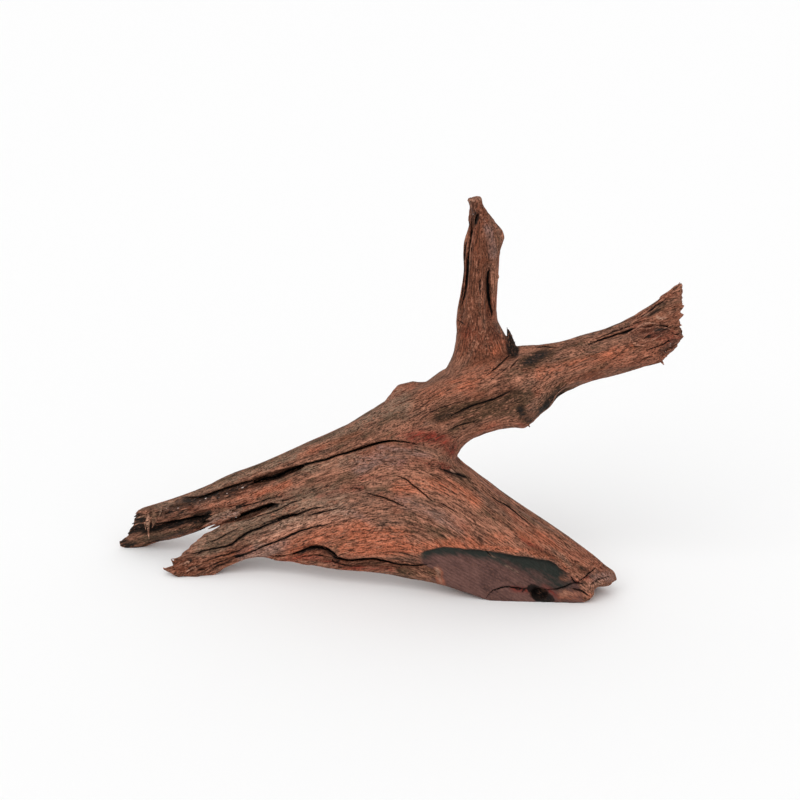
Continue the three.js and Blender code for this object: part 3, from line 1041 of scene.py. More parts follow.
class Wiring:
    """Places shader nodes in a tree and joins their sockets."""

    colour_inputs: tuple[int, int, int] = (0, 6, 7)
    colour_output: int = 2
    value_inputs: tuple[int, int, int] = (0, 2, 3)
    value_output: int = 0

    def __init__(self, tree: bpy.types.NodeTree) -> None:
        """Starts on a tree.

        Args:
            tree: The tree of a material or group.
        """
        self.tree = tree

    def node(self, kind: str, **values: object) -> bpy.types.Node:
        """Adds a node.

        Args:
            kind: Its type, without the words ShaderNode.
            **values: Its settings.

        Returns:
            The node.
        """
        node = self.tree.nodes.new("ShaderNode" + kind)
        for name, value in values.items():
            setattr(node, name, value)
        return node

    def join(self, value: object, socket: Socket) -> None:
        """Feeds a socket from another one, or sets it.

        Args:
            value: A socket, a number or a colour.
            socket: The input.
        """
        if isinstance(value, Socket):
            self.tree.links.new(value, socket)
        else:
            socket.default_value = value

    def attribute(self, name: str, output: str = "Fac") -> Socket:
        """Reads an attribute of the mesh."""
        return self.node("Attribute", attribute_name=name).outputs[output]

    def math(self, operation: str, first: object, second: object) -> Socket:
        """Works two values out.

        Args:
            operation: The sum to do.
            first: A socket or number.
            second: A socket or number.

        Returns:
            The result's socket.
        """
        node = self.node("Math", operation=operation)
        self.join(first, node.inputs[0])
        self.join(second, node.inputs[1])
        return node.outputs[0]

    def times(self, first: object, second: object) -> Socket:
        """Multiplies two values."""
        return self.math("MULTIPLY", first, second)

    def span(self, value: Socket, bounds: Point, ends: Point = (0.0, 1.0)) -> Socket:
        """Eases a value between two bounds.

        Args:
            value: A socket.
            bounds: The values that give the two ends.
            ends: The results there.

        Returns:
            The result's socket.
        """
        node = self.node("MapRange", interpolation_type="SMOOTHSTEP")
        for socket, setting in zip(node.inputs, (value, *bounds, *ends)):
            self.join(setting, socket)
        return node.outputs[0]

    def mix(self, share: object, first: object, second: object, blend: str = "MIX") -> Socket:
        """Mixes two colours.

        Args:
            share: How much of the second.
            first: A socket or colour.
            second: A socket or colour.
            blend: The blend mode.

        Returns:
            The colour's socket.
        """
        node = self.node("Mix", data_type="RGBA", blend_type=blend)
        for number, value in zip(self.colour_inputs, (share, first, second)):
            self.join(value, node.inputs[number])
        return node.outputs[self.colour_output]

    def blend(self, share: object, first: object, second: object) -> Socket:
        """Mixes two values.

        Args:
            share: How much of the second.
            first: A socket or number.
            second: A socket or number.

        Returns:
            The value's socket.
        """
        node = self.node("Mix", data_type="FLOAT")
        for number, value in zip(self.value_inputs, (share, first, second)):
            self.join(value, node.inputs[number])
        return node.outputs[self.value_output]

    def strand(self, grain: Socket, strand: Strand) -> Socket:
        """Lays noise that is drawn out along a grain.

        Args:
            grain: The socket of the place along, across and into the fibres.
            strand: The pattern.

        Returns:
            The value's socket.
        """
        scaled = self.node("VectorMath", operation="DIVIDE")
        self.join(grain, scaled.inputs[0])
        self.join((strand.length, strand.breadth, strand.breadth), scaled.inputs[1])
        noise = self.node("TexNoise")
        self.join(scaled.outputs[0], noise.inputs["Vector"])
        settings = {"Scale": 1.0, "Detail": strand.detail, "Roughness": strand.rough}
        for name, value in settings.items():
            self.join(value, noise.inputs[name])
        value = noise.outputs["Fac"]
        return self.span(value, strand.bounds) if strand.bounds else value


STRANDS = {
    "Streaks": Strand(44, 3.4, 4, 0.62),
    "Fibres": Strand(9, 0.9, 3, 0.6),
    "Pale": Strand(3.8, 1.1, 2, bounds=(0.52, 0.7)),
    "Dark": Strand(6, 1.1, 2, bounds=(0.41, 0.29)),
    "Hairs": Strand(60, 1.7, 1, bounds=(0.34, 0.26)),
    "Specks": Strand(1.5, 1.0, 2),
    "Bands": Strand(85, 12, 3),
    "Mottle": Strand(24, 9, 4, 0.6),
    "Patches": Strand(44, 21, 3),
}
GLINTS = Strand(2.2, 1.3, 0, bounds=(0.78, 0.84))


@dataclass(frozen=True)
class Veil:
    """A thin coat of a finish's colour: the pattern it follows, its bounds and its strength."""

    pattern: str
    bounds: Point
    most: float
    colour: str


VEILS = (
    Veil("Bands", (0.44, 0.6), 0.6, "ash"),
    Veil("Mottle", (0.5, 0.64), 0.65, "olive"),
    Veil("Patches", (0.52, 0.64), 0.6, "russet"),
    Veil("Patches", (0.47, 0.36), 0.5, "light"),
)

SAW_LINES = {"Scale": 120.0, "Distortion": 2.5, "Detail": 3.0, "Detail Scale": 2.0}

# How strongly each stain, some also laid as painted shade, covers the wood, in the order they
# are laid.
COVER = {
    Tint.UMBER: 0.8, Tint.DUST: 0.75, Tint.SLATE: 0.7, Tint.EMBER: 0.7, Tint.RUST: 0.9,
    Tint.MOSS_AND_SHADE: 0.8, Tint.WET_AND_SHADE: 0.8, Tint.CHAR_AND_SHADE: 0.96, Tint.BLEACH: 0.8,
}


def fibre_group() -> bpy.types.NodeTree:
    """Makes the shader group of wood fibres along one grain.

    Returns:
        A group that turns a grain place in millimetres into streaks, fibres, flecks and bands.
    """
    tree = bpy.data.node_groups.new("wood_fibres", "ShaderNodeTree")
    tree.interface.new_socket("Grain", in_out="INPUT", socket_type="NodeSocketVector")
    for name in STRANDS:
        tree.interface.new_socket(name, in_out="OUTPUT", socket_type="NodeSocketFloat")
    wires = Wiring(tree)
    grain = tree.nodes.new("NodeGroupInput").outputs["Grain"]
    out = tree.nodes.new("NodeGroupOutput")
    for name, strand in STRANDS.items():
        wires.join(wires.strand(grain, strand), out.inputs[name])
    return tree


@dataclass
class WoodMaterial:
    """The shader of the weathered wood, mixed from its finish by the skin's attributes."""

    finish: WoodFinish = field(default_factory=WoodFinish)
    members: tuple[str, ...] = ("limb", "root", "branch")
    wires: Wiring = field(init=False)
    fibres: dict[str, Socket] = field(init=False)

    def build(self) -> bpy.types.Material:
        """Wires the material.

        Returns:
            The material.
        """
        material = bpy.data.materials.new("weathered_wood")
        material.use_nodes = True
        self.wires = Wiring(material.node_tree)
        self.fibres = self.joined_fibres()
        shader = material.node_tree.nodes["Principled BSDF"]
        colour = self.wood_colour()
        for coat in (self.sawn, self.stained, self.flecked, self.parted):
            colour = coat(colour)
        self.wires.join(colour, shader.inputs["Base Color"])
        self.wires.join(self.roughness(), shader.inputs["Roughness"])
        shader.inputs["Specular IOR Level"].default_value = self.finish.shine
        self.wires.join(self.bump(), shader.inputs["Normal"])
        return material

    def joined_fibres(self) -> dict[str, Socket]:
        """Lays the fibres of the three members and joins them where they grow together.

        Returns:
            The fibre group's outputs for the whole piece.
        """
        wires = self.wires
        group = fibre_group()
        laid = {}
        for member in self.members:
            node = wires.node("Group", node_tree=group)
            wires.join(wires.attribute("grain_" + member, "Vector"), node.inputs["Grain"])
            laid[member] = node.outputs
        root, branch = wires.attribute("of_root"), wires.attribute("of_branch")
        joined = {}
        for name in STRANDS:
            low = wires.blend(root, laid["limb"][name], laid["root"][name])
            joined[name] = wires.blend(branch, low, laid["branch"][name])
        return joined

    def wood_colour(self) -> Socket:
        """Mixes the bare wood from broad bands, mottles and long streaks, and paints highlights
        on its ridges.

        Returns:
            The colour's socket.
        """
        wires, finish = self.wires, self.finish
        tone = wires.blend(finish.tone_fibres, self.fibres["Streaks"], self.fibres["Fibres"])
        colour = wires.mix(wires.span(tone, finish.middle_tones), finish.deep, finish.middle)
        colour = wires.mix(wires.span(tone, finish.light_tones), colour, finish.light)
        for veil in VEILS:
            share = wires.span(self.fibres[veil.pattern], veil.bounds, (0.0, veil.most))
            colour = wires.mix(share, colour, getattr(finish, veil.colour))
        # Painted highlight: the skin's ridges are lightened towards the light colour.
        ridges = wires.attribute("ridge")
        worn = wires.span(ridges, finish.ridge_highlight_bounds, (0.0, finish.ridge_highlight))
        return wires.mix(worn, colour, finish.light)

    def sawn(self, colour: Socket) -> Socket:
        """Lays the sawn foot, darkened by painted shade under its upper edge and lined by the
        saw.

        Args:
            colour: The colour so far.

        Returns:
            The colour's socket.
        """
        wires, fibres, finish = self.wires, self.fibres, self.finish
        turned = wires.node("Mapping", vector_type="POINT")
        turned.inputs["Rotation"].default_value = (0, math.radians(finish.saw_turn), 0)
        wires.join(wires.node("TexCoord").outputs["Object"], turned.inputs["Vector"])
        lines = wires.node("TexWave", bands_direction="X")
        wires.join(turned.outputs["Vector"], lines.inputs["Vector"])
        for name, value in SAW_LINES.items():
            wires.join(value, lines.inputs[name])
        mottle = wires.span(fibres["Mottle"], finish.most_noise)
        line = wires.blend(finish.saw_mottle, lines.outputs["Fac"], mottle)
        face = wires.mix(line, finish.sawn_dark, finish.sawn_light)
        # Painted shade: a dark band under the lip above the sawn face.
        grain = wires.blend(0.5, fibres["Mottle"], fibres["Streaks"])
        drift = wires.span(grain, finish.most_noise, finish.sawn_drift)
        edge = wires.math("ADD", wires.attribute("sawn_lip_shade"), drift)
        face = wires.mix(wires.span(edge, finish.sawn_band), face, finish.sawn_lip_shade)
        return wires.mix(wires.attribute("sawn"), colour, face)

    def stained(self, colour: Socket) -> Socket:
        """Lays the stains and the painted shade among them, each with an edge that runs out
        along the fibres.

        Args:
            colour: The colour so far.

        Returns:
            The colour's socket.
        """
        wires, fibres, finish = self.wires, self.fibres, self.finish
        grain = wires.blend(finish.stain_fibres, fibres["Streaks"], fibres["Fibres"])
        grain = wires.blend(finish.stain_fibres, grain, fibres["Mottle"])
        streaky = wires.span(grain, finish.stain_grain, finish.stain_streaks)
        for tint, most in COVER.items():
            edge = wires.times(wires.attribute(tint.value), streaky)
            share = wires.span(edge, finish.stain_bounds, (0.0, most))
            colour = wires.mix(share, colour, getattr(finish, tint.value))
        return colour

    def flecked(self, colour: Socket) -> Socket:
        """Strews fine fibres, pale flecks, dark pores and wet glints over the colour.

        Args:
            colour: The colour so far.

        Returns:
            The colour's socket.
        """
        wires, fibres, finish = self.wires, self.fibres, self.finish
        rough = wires.span(wires.attribute("sawn"), (0.0, 1.0), (1.0, finish.sawn_rough))
        char = wires.attribute(Tint.CHAR_AND_SHADE.value)
        char = wires.span(char, finish.stain_shows, (1.0, finish.char_rough))
        rough = wires.times(rough, char)
        fine = wires.blend(finish.speck_share, fibres["Fibres"], fibres["Specks"])
        shade = wires.span(fine, finish.fine_bounds, finish.fine_shade)
        grey = wires.node("CombineColor")
        for socket in grey.inputs:
            wires.join(shade, socket)
        shaded = wires.mix(1.0, colour, grey.outputs[0], "MULTIPLY")
        colour = wires.mix(rough, colour, shaded)
        rusty = wires.attribute(Tint.RUST.value)
        bare = wires.span(rusty, finish.stain_shows, finish.rust_flecks)
        mottle = wires.span(fibres["Mottle"], finish.mottle_bounds, finish.mottle_flecks)
        pale = wires.times(wires.times(fibres["Pale"], rough), wires.times(bare, mottle))
        band = wires.span(wires.attribute("sawn_lip_shade"), finish.band_bounds, (1.0, 0.0))
        colour = wires.mix(wires.times(pale, band), colour, finish.fleck)
        bands = wires.span(fibres["Bands"], finish.most_noise, finish.band_pores)
        hairs = wires.times(fibres["Hairs"], finish.hair_pores)
        dark = wires.math("MAXIMUM", wires.times(fibres["Dark"], bands), hairs)
        colour = wires.mix(wires.times(dark, rough), colour, finish.pore)
        limb = wires.attribute("grain_limb", "Vector")
        wet = wires.span(wires.attribute(Tint.WET_AND_SHADE.value), finish.glint_wet)
        glints = wires.times(wires.strand(limb, GLINTS), wet)
        return wires.mix(glints, colour, finish.glint)

    def parted(self, colour: Socket) -> Socket:
        """Paints shade into the hollows and the open cracks.

        Args:
            colour: The colour so far.

        Returns:
            The colour's socket.
        """
        wires, finish = self.wires, self.finish
        # Painted shade: the hollows are darkened towards the crack colour.
        hollow = wires.attribute("hollow")
        hollow = wires.span(hollow, finish.hollow_bounds, (0.0, finish.hollow_shade))
        colour = wires.mix(hollow, colour, finish.crack)
        # Painted shade in the open cracks and the fine splits.
        shake = wires.span(self.fibres["Fibres"], finish.wide_noise, finish.split_shake)
        split = wires.math("ADD", wires.attribute("split"), shake)
        return wires.mix(wires.span(split, finish.split_bounds), colour, finish.crack)

    def roughness(self) -> Socket:
        """Makes the wood dull, and its wet channel less so.

        Returns:
            The roughness.
        """
        wires, finish = self.wires, self.finish
        dry = wires.span(self.fibres["Fibres"], finish.wide_noise, finish.dry_rough)
        wet = wires.span(wires.attribute(Tint.WET_AND_SHADE.value), finish.wet_bounds)
        return wires.blend(wet, dry, finish.wet_rough)

    def bump(self) -> Socket:
        """Raises the fibres and sinks the pores between them.

        Returns:
            The normal's socket.
        """
        wires, finish = self.wires, self.finish
        bump = wires.node("Bump")
        bump.inputs["Strength"].default_value = finish.fibre_bump
        bump.inputs["Distance"].default_value = finish.bump_height * MM
        pores = wires.times(self.fibres["Dark"], finish.pore_depth)
        height = wires.math("SUBTRACT", self.fibres["Fibres"], pores)
        wires.join(height, bump.inputs["Height"])
        return bump.outputs["Normal"]


class Swell(Enum):
    """The noises of the wood: each one's seed and the size of one swell in millimetres."""

    BROAD = (5, (70, 17, 17))
    STRANDS = (6, (85, 7.5, 7.5))
    FINE = (7, (30, 2.3, 2.3))
    LINES = (8, (64, 9, 9))
    HIDING = (9, (48, 24, 24))
    CHUNKS = (10, (13, 9, 13))
    LENGTHS = (12, (4, 3.2, 4.5))
    TUFTS = (13, (9, 8, 9))

    def at(self, points: np.ndarray) -> np.ndarray:
        """Gives the noise at points, in millimetres."""
        seed, spacing = self.value
        return GrainNoise(seed).at(points, spacing)


@dataclass(frozen=True)
class Drift:
    """A slow wandering: how far it reaches, the size of one swell and its first seed."""

    reach: float
    spacing: Place
    first_seed: int


GRAIN_DRIFTS = (Drift(2.6, (95, 42, 42), 0), Drift(0.8, (24, 13, 13), 2))
PICTURE_DRIFTS = (Drift(1.0, (16, 16, 60), 0), Drift(0.5, (5, 5, 60), 2))


def wander(
    values: np.ndarray, axes: tuple[int, int], points: np.ndarray, drifts: tuple[Drift, ...]
) -> None:
    """Lets two columns of values wander a little.

    Args:
        values: One row per point, which is changed.
        axes: The columns that wander.
        points: Where the points lie, in millimetres.
        drifts: How they wander.
    """
    for axis, drift in itertools.product(axes, drifts):
        noise = GrainNoise(axis + drift.first_seed)
        values[:, axis] += drift.reach * noise.at(points, drift.spacing)


@dataclass(frozen=True)
class FibreRelief:
    """Heights and depths of the fibres' ridges and of the fine splits, in millimetres.

    A pair of heights gives the one on whole wood and what torn wood adds to it.
    """

    broad: float = 0.8
    strands: Point = (0.6, 1.1)
    strand_curve: float = 0.7
    strand_middle: float = 0.4
    fine: Point = (0.22, 0.18)
    split_depth: Point = (1.2, 1.2)
    split_width: float = 0.8
    split_spread: float = 6.5
    closed: float = 6.0
    hiding: Point = (0.12, -0.15)
    opening: Point = (0.1, 0.6)

    def at(self, places: np.ndarray, torn: np.ndarray) -> tuple[np.ndarray, np.ndarray]:
        """Works out the fibres' ridges and the fine splits between them.

        Args:
            places: Places along, across and into the fibres.
            torn: How torn the wood is there.

        Returns:
            Millimetres that the skin rises, and millimetres to the nearest fine split.
        """
        def grown(heights: Point) -> np.ndarray:
            """Gives a height that grows where the wood is torn."""
            return heights[0] + heights[1] * torn

        strands = np.abs(Swell.STRANDS.at(places)) ** self.strand_curve - self.strand_middle
        lines = np.abs(Swell.LINES.at(places)) * self.split_spread
        hidden = ease(Swell.HIDING.at(places), *self.hiding)
        shown = (1 - hidden) * ease(torn, *self.opening)
        split = lines + self.closed * (1 - shown)
        rise = self.broad * Swell.BROAD.at(places) + grown(self.strands) * strands
        rise = rise + grown(self.fine) * Swell.FINE.at(places)
        return rise - grown(self.split_depth) * np.exp(-((split / self.split_width) ** 2)), split


@dataclass(frozen=True)
class Surface:
    """The points of a mesh as the viewer measures them.

    Seen holds millimetres right of, above and in front of the target, facing the way each point
    faces along the same axes, and picture the pixels where it shows.
    """

    seen: np.ndarray
    facing: np.ndarray
    picture: np.ndarray

    def shaken(self) -> np.ndarray:
        """Gives where the points show, shaken a little so that marks aren't ruled."""
        picture = self.picture.copy()
        wander(picture, (0, 1), self.seen, PICTURE_DRIFTS)
        return picture


@dataclass(frozen=True)
class SawnFoot:
    """The sawn face of the root's foot, and the band of painted shade under its upper edge.

    Places and the first two fades are in the viewer's millimetres, the upper edge and the band
    in pixels. A fade gives where something starts and where it is full.
    """

    at: Place = (80, -122, 2)
    pitch: float = 22.5
    yaw: float = -5.0
    depth_fade: Point = (8, 5)
    left_fade: Point = (13, 20)
    facing_fade: Point = (0.1, 0.4)
    edge_fade: Point = (-0.6, 0.8)
    top: Line = (
        (400, 562), (418, 554), (428, 550), (446, 547), (470, 549), (500, 553), (545, 560),
        (560, 568), (578, 582), (584, 604),
    )
    band_depth: float = 9.0
    band_swell: float = 15.0
    band_strength: float = 1.3
    swell_fade: Point = (480, 542)
    band_fade: Point = (-3, 1)
    band_end: Point = (584, 560)
    bare_fade: Point = (572, 564)

    def share(self, surface: Surface) -> np.ndarray:
        """Finds the sawn face.

        Args:
            surface: The skin's points.

        Returns:
            1 on the face and 0 away from it.
        """
        turn = (Matrix.Rotation(math.radians(self.yaw), 3, "Y")
                @ Matrix.Rotation(math.radians(self.pitch), 3, "X"))
        outward = np.array(turn @ Vector((0, 0, 1)))
        off = np.abs((surface.seen - np.array(self.at)) @ outward)
        near = ease(off, *self.depth_fade) * ease(surface.seen[:, 0], *self.left_fade)
        near = near * ease(surface.facing @ outward, *self.facing_fade)
        _, _, below = nearest_on_path(surface.shaken(), smooth_path(self.top))
        return near * ease(below, *self.edge_fade)

    def band(self, picture: np.ndarray) -> np.ndarray:
        """Lays the band of painted shade under the face's upper edge.

        Args:
            picture: Where the points show, in pixels.

        Returns:
            Shares from 0 to 1.
        """
        gap, _, below = nearest_on_path(picture, smooth_path(self.top))
        deep = self.band_depth + self.band_swell * ease(picture[:, 0], *self.swell_fade)
        dark = np.clip(self.band_strength - gap / deep, 0, 1)
        return dark * ease(below, *self.band_fade) * ease(picture[:, 0], *self.band_end)


@dataclass(frozen=True)
class TornEnds:
    """How the ends are frayed, in the viewer's millimetres, and the left plank's in pixels.

    A fade gives where fraying starts and where it is full.
    """

    stagger: float = 3.4
    draw_out: Place = (0.05, 1, 1)
    low_fade: Point = (34, 4)
    high_fade: Point = (-26, -4)
    high_share: float = 0.6
    tip_fade: Point = (-150, -182)
    tip_share: float = 0.8
    plank_end: float = 135.0
    plank_most: float = 16.0
    plank_fade: Point = (538, 523)
    plank_share: float = 0.9
    chunk_edge: float = 5.0
    chunk_height: float = 1.3
    foot_right: Point = (138, 150)
    foot_low: Point = (-122, -130)
    foot_front: Point = (0.2, 0.6)

    def moves(self, surface: Surface, root: np.ndarray, branch: np.ndarray) -> np.ndarray:
        """Draws the fibres of the torn ends out to different lengths.

        Args:
            surface: The skin's points.
            root: How much of each point belongs to the root.
            branch: How much of each point belongs to the branch.

        Returns:
            The way each point moves, in the viewer's millimetres.
        """
        seen, picture, limb = surface.seen, surface.picture, LimbGrain()
        ends = limb.lay(np.array([limb.low_end, limb.high_end], float))[:, 0]
        places = limb.lay(seen)
        drawn = places * np.array(self.draw_out)
        stagger = self.stagger * Swell.LENGTHS.at(drawn) + self.stagger * Swell.TUFTS.at(drawn)
        low = ease(places[:, 0] - ends[0], *self.low_fade) * (1 - root)
        high = ease(places[:, 0] - ends[1], *self.high_fade) * (1 - branch)
        moved = limb.along() * (stagger * (low + self.high_share * high))[:, None]
        tip = root * ease(seen[:, 0], *self.tip_fade)
        moved[:, 0] += self.tip_share * stagger * tip
        past = np.clip(self.plank_end - picture[:, 0], 0, self.plank_most)
        past = past * ease(picture[:, 1], *self.plank_fade) * (1 - root)
        moved[:, 0] += self.plank_share * past
        chunks = np.tanh(self.chunk_edge * Swell.CHUNKS.at(seen))
        foot = root * ease(seen[:, 0], *self.foot_right) * ease(seen[:, 1], *self.foot_low)
        foot = foot * ease(surface.facing[:, 2], *self.foot_front)
        return moved + surface.facing * (self.chunk_height * chunks * foot)[:, None]


# The noise's seed and the least value that shows, for each stain scattered out of view.
SCATTERED = {
    Tint.RUST: (5, 0.3), Tint.EMBER: (6, 0.05), Tint.MOSS_AND_SHADE: (7, 0.1), Tint.CHAR_AND_SHADE: (8, 0.55),
    Tint.SLATE: (9, 0.25),
}


@dataclass
class Driftwood:
    """The whole piece of wood: limb, root and branch in one skin.

    Lengths are in millimetres, the seam is in pixels, and a fade gives where something starts
    and where it is full.
    """

    view: Viewpoint
    foot: SawnFoot = field(default_factory=SawnFoot)
    ends: TornEnds = field(default_factory=TornEnds)
    fibres: FibreRelief = field(default_factory=FibreRelief)
    voxel: float = 0.85
    merge: float = 0.01
    triangles: int = 190_000
    melt_rounds: int = 10
    seam: Line = (
        (60, 600), (100, 578), (160, 561), (200, 538), (232, 520), (275, 503), (300, 490),
        (330, 470), (350, 455), (389, 442), (424, 446), (457, 455), (700, 455),
    )
    seam_blur: Point = (3.0, 22.0)
    limb_top: Point = (20, 13.6)
    limb_slope: float = 0.317
    branch_rise: Point = (-14, 18)
    branch_reach: Point = (64, 46)
    low_tear: Point = (-80, -175)
    fan_tear: Point = (165, 205)
    fan_share: float = 0.8
    stem_tear: Point = (75, 110)
    stem_share: float = 0.5
    back_tear: Point = (0.15, -0.3)
    back_share: float = 0.6
    member_gap: float = 8.0
    member_fade: Point = (0.97, 0.75)
    front_fade: Point = (0.05, 0.4)
    feet_fade: Point = (0.2, 5)
    sawn_calm: float = 0.92
    crack_edge: float = 0.5
    splinter_rings: int = 9
    splinter_sides: int = 8
    splinter_climb: float = 3.0
    split_edge: float = 0.2
    marked_front: float = 0.4
    hollow_rounds: tuple[int, int] = (6, 40)
    hollow_shares: Point = (0.9, 0.35)
    ridge_shares: Point = (0.9, 0.3)
    hollow_most: float = 1.2
    scatter_size: Place = (60, 34, 34)
    scatter_fade: float = 0.5
    scatter_strength: float = 0.8
    # Painted shade on faces that point up: where it starts and is full, and its strength.
    top_shade_fade: Point = (0.8, 0.97)
    top_shade_strength: float = 0.6

    def build(self, solid: bpy.types.Object) -> bpy.types.Object:
        """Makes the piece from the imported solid.

        Args:
            solid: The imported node.

        Returns:
            The dressed piece.
        """
        piece = self.skin(solid)
        self.carve(piece)
        self.thin(piece)
        self.add_splinters(piece)
        self.paint(piece)
        piece.data.materials.clear()
        piece.data.materials.append(WoodMaterial().build())
        return piece

    def skin(self, solid: bpy.types.Object) -> bpy.types.Object:
        """Covers the solid with a fine even skin and melts its flats.

        Args:
            solid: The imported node.

        Returns:
            A new piece.
        """
        mesh = bpy.data.meshes.new("driftwood_skin")
        work = bmesh.new()
        work.from_mesh(solid.data)
        bmesh.ops.remove_doubles(work, verts=work.verts, dist=self.merge * MM)
        work.to_mesh(mesh)
        work.free()
        piece = bpy.data.objects.new("driftwood_skin", mesh)
        bpy.context.scene.collection.objects.link(piece)
        settle(piece, "REMESH", mode="VOXEL", voxel_size=self.voxel * MM)
        settle(piece, "SMOOTH", factor=SMOOTHING, iterations=self.melt_rounds)
        return piece

    def weights(self, surface: Surface) -> tuple[np.ndarray, np.ndarray]:
        """Tells the three members apart.

        Args:
            surface: The skin's points.

        Returns:
            How much of each point belongs to the root, and how much to the branch.
        """
        seen = surface.seen
        _, _, below = nearest_on_path(surface.picture, np.array(self.seam, float))
        soft = np.where(surface.facing[:, 2] > 0, *self.seam_blur)
        root = np.clip(0.5 + below / (2 * soft), 0, 1)
        across, up = self.limb_top
        height = seen[:, 1] - (up + self.limb_slope * (seen[:, 0] - across))
        aside = np.abs(seen[:, 0] - BranchGrain().middle)
        return root, ease(height, *self.branch_rise) * ease(aside, *self.branch_reach)

    def torn(self, surface: Surface) -> np.ndarray:
        """Tells how torn the wood is: much at its ends and far side, little in its middle.

        Args:
            surface: The skin's points.

        Returns:
            Shares from 0 to 1.
        """
        low_ends = ease(surface.seen[:, 0], *self.low_tear)
        fan = self.fan_share * ease(surface.seen[:, 0], *self.fan_tear)
        stem = self.stem_share * ease(surface.seen[:, 1], *self.stem_tear)
        hidden = self.back_share * ease(surface.facing[:, 2], *self.back_tear)
        return np.maximum.reduce([low_ends, fan, stem, hidden])

    def grains(self, seen: np.ndarray) -> dict[str, np.ndarray]:
        """Lays the three grains, each wandering a little.

        Args:
            seen: The points, in the viewer's millimetres.

        Returns:
            Each member's places along, across and into its fibres.
        """
        laid = {"limb": LimbGrain(), "root": RootGrain(), "branch": BranchGrain()}
        result = {}
        for name, grain in laid.items():
            result[name] = grain.lay(seen)
            wander(result[name], (1, 2), result[name], GRAIN_DRIFTS)
        return result

    def relief(self, surface: Surface) -> tuple[np.ndarray, np.ndarray]:
        """Joins the relief of the three members.

        Args:
            surface: The skin's points.

        Returns:
            Millimetres that the skin rises, and millimetres to the nearest fine split.
        """
        root, branch = self.weights(surface)
        torn = self.torn(surface)
        limb = (1 - root) * (1 - branch)
        shares = {"limb": limb, "root": root * (1 - branch), "branch": branch}
        most = np.maximum.reduce(list(shares.values()))
        rise = np.zeros(len(most))
        split = self.member_gap * ease(most, *self.member_fade)
        for name, places in self.grains(surface.seen).items():
            lifted, parted = self.fibres.at(places, torn)
            rise += shares[name] * lifted
            split += shares[name] * parted
        return rise, split

    def nudged(self, seen: np.ndarray) -> np.ndarray:
        """Shifts the outline by the listed nudges where the solid strays from the photograph's.

        Args:
            seen: The points, in the viewer's millimetres.

        Returns:
            The points shifted.
        """
        picture = self.view.picture(seen)
        moved = seen.copy()
        for nudge in NUDGES:
            share = PIXEL * nudge.share(picture)
            moved[:, 0] += nudge.shift[0] * share
            moved[:, 1] -= nudge.shift[1] * share
        return moved

    def marks(self, picture: np.ndarray) -> tuple[np.ndarray, np.ndarray]:
        """Works out the named cracks, grooves, steps and dents.

        Args:
            picture: Where the points show, in pixels.

        Returns:
            Millimetres that each point falls, and millimetres from it to the nearest crack's
            edge.
        """
        fallen = np.zeros(len(picture))
        split = np.full(len(picture), WHOLE)
        for mark in MARKS:
            path = smooth_path(mark.path)
            inside = near_path(picture, path)
            gap, passed, below = nearest_on_path(picture[inside], path)
            gap, below = PIXEL * gap, PIXEL * below
            fallen[inside] += mark.fall(gap, passed, below)
            if mark.cut is Cut.CRACK:
                edge = gap - self.crack_edge * mark.width * tapered(passed)
                split[inside] = np.minimum(split[inside], edge)
        for dent in DENTS:
            fallen += dent.depth * dent.share(picture)
        return fallen, split

    def carve(self, piece: bpy.types.Object) -> None:
        """Works fibres, cracks, steps and torn ends into the skin.

        Args:
            piece: The piece.
        """
        mesh = piece.data
        points = points_of(mesh)
        seen = self.nudged(self.view.seen(points))
        facing = normals_of(mesh) @ self.view.axes().T
        surface = Surface(seen, facing, self.view.picture(seen))
        sawn = self.foot.share(surface)
        front = ease(facing[:, 2], *self.front_fade)
        rise, _ = self.relief(surface)
        fallen, _ = self.marks(surface.shaken())
        frayed = self.ends.moves(surface, *self.weights(surface))
        low, high = self.feet_fade
        feet = ease(points[:, 2], low * MM, high * MM)
        moved = seen + facing * (rise * (1 - self.sawn_calm * sawn) * feet)[:, None]
        moved[:, 2] -= fallen * front * feet
        moved += frayed * feet[:, None]
        placed = self.view.placed(moved)
        placed[:, 2] = np.maximum(placed[:, 2], 0)
        lay_values(mesh, "front", front)
        lay_values(mesh, "sawn", sawn)
        move_points(mesh, placed)

    def thin(self, piece: bpy.types.Object) -> None:
        """Thins the skin where it is plain.

        Args:
            piece: The piece.
        """
        mesh = piece.data
        mesh.calc_loop_triangles()
        share = self.triangles / len(mesh.loop_triangles)
        settle(piece, "DECIMATE", ratio=min(1.0, share))

    def add_splinters(self, piece: bpy.types.Object) -> None:
        """Sets thin splinters into the torn ends.

        Args:
            piece: The piece.
        """
        work = bmesh.new()
        work.from_mesh(piece.data)
        tree = BVHTree.FromBMesh(work)
        front = work.verts.layers.float["front"]
        pale = work.verts.layers.float.new("splinter_pale")
        loose = work.verts.layers.float.new("splinter_share")
        for splinter in SPLINTERS:
            known = len(work.verts)
            strip = self.splinter(splinter, tree)
            work.from_mesh(strip)
            bpy.data.meshes.remove(strip)
            work.verts.ensure_lookup_table()
            for vert in work.verts[known:]:
                vert[front], vert[pale], vert[loose] = 1.0, splinter.pale, 1.0
        work.to_mesh(piece.data)
        work.free()

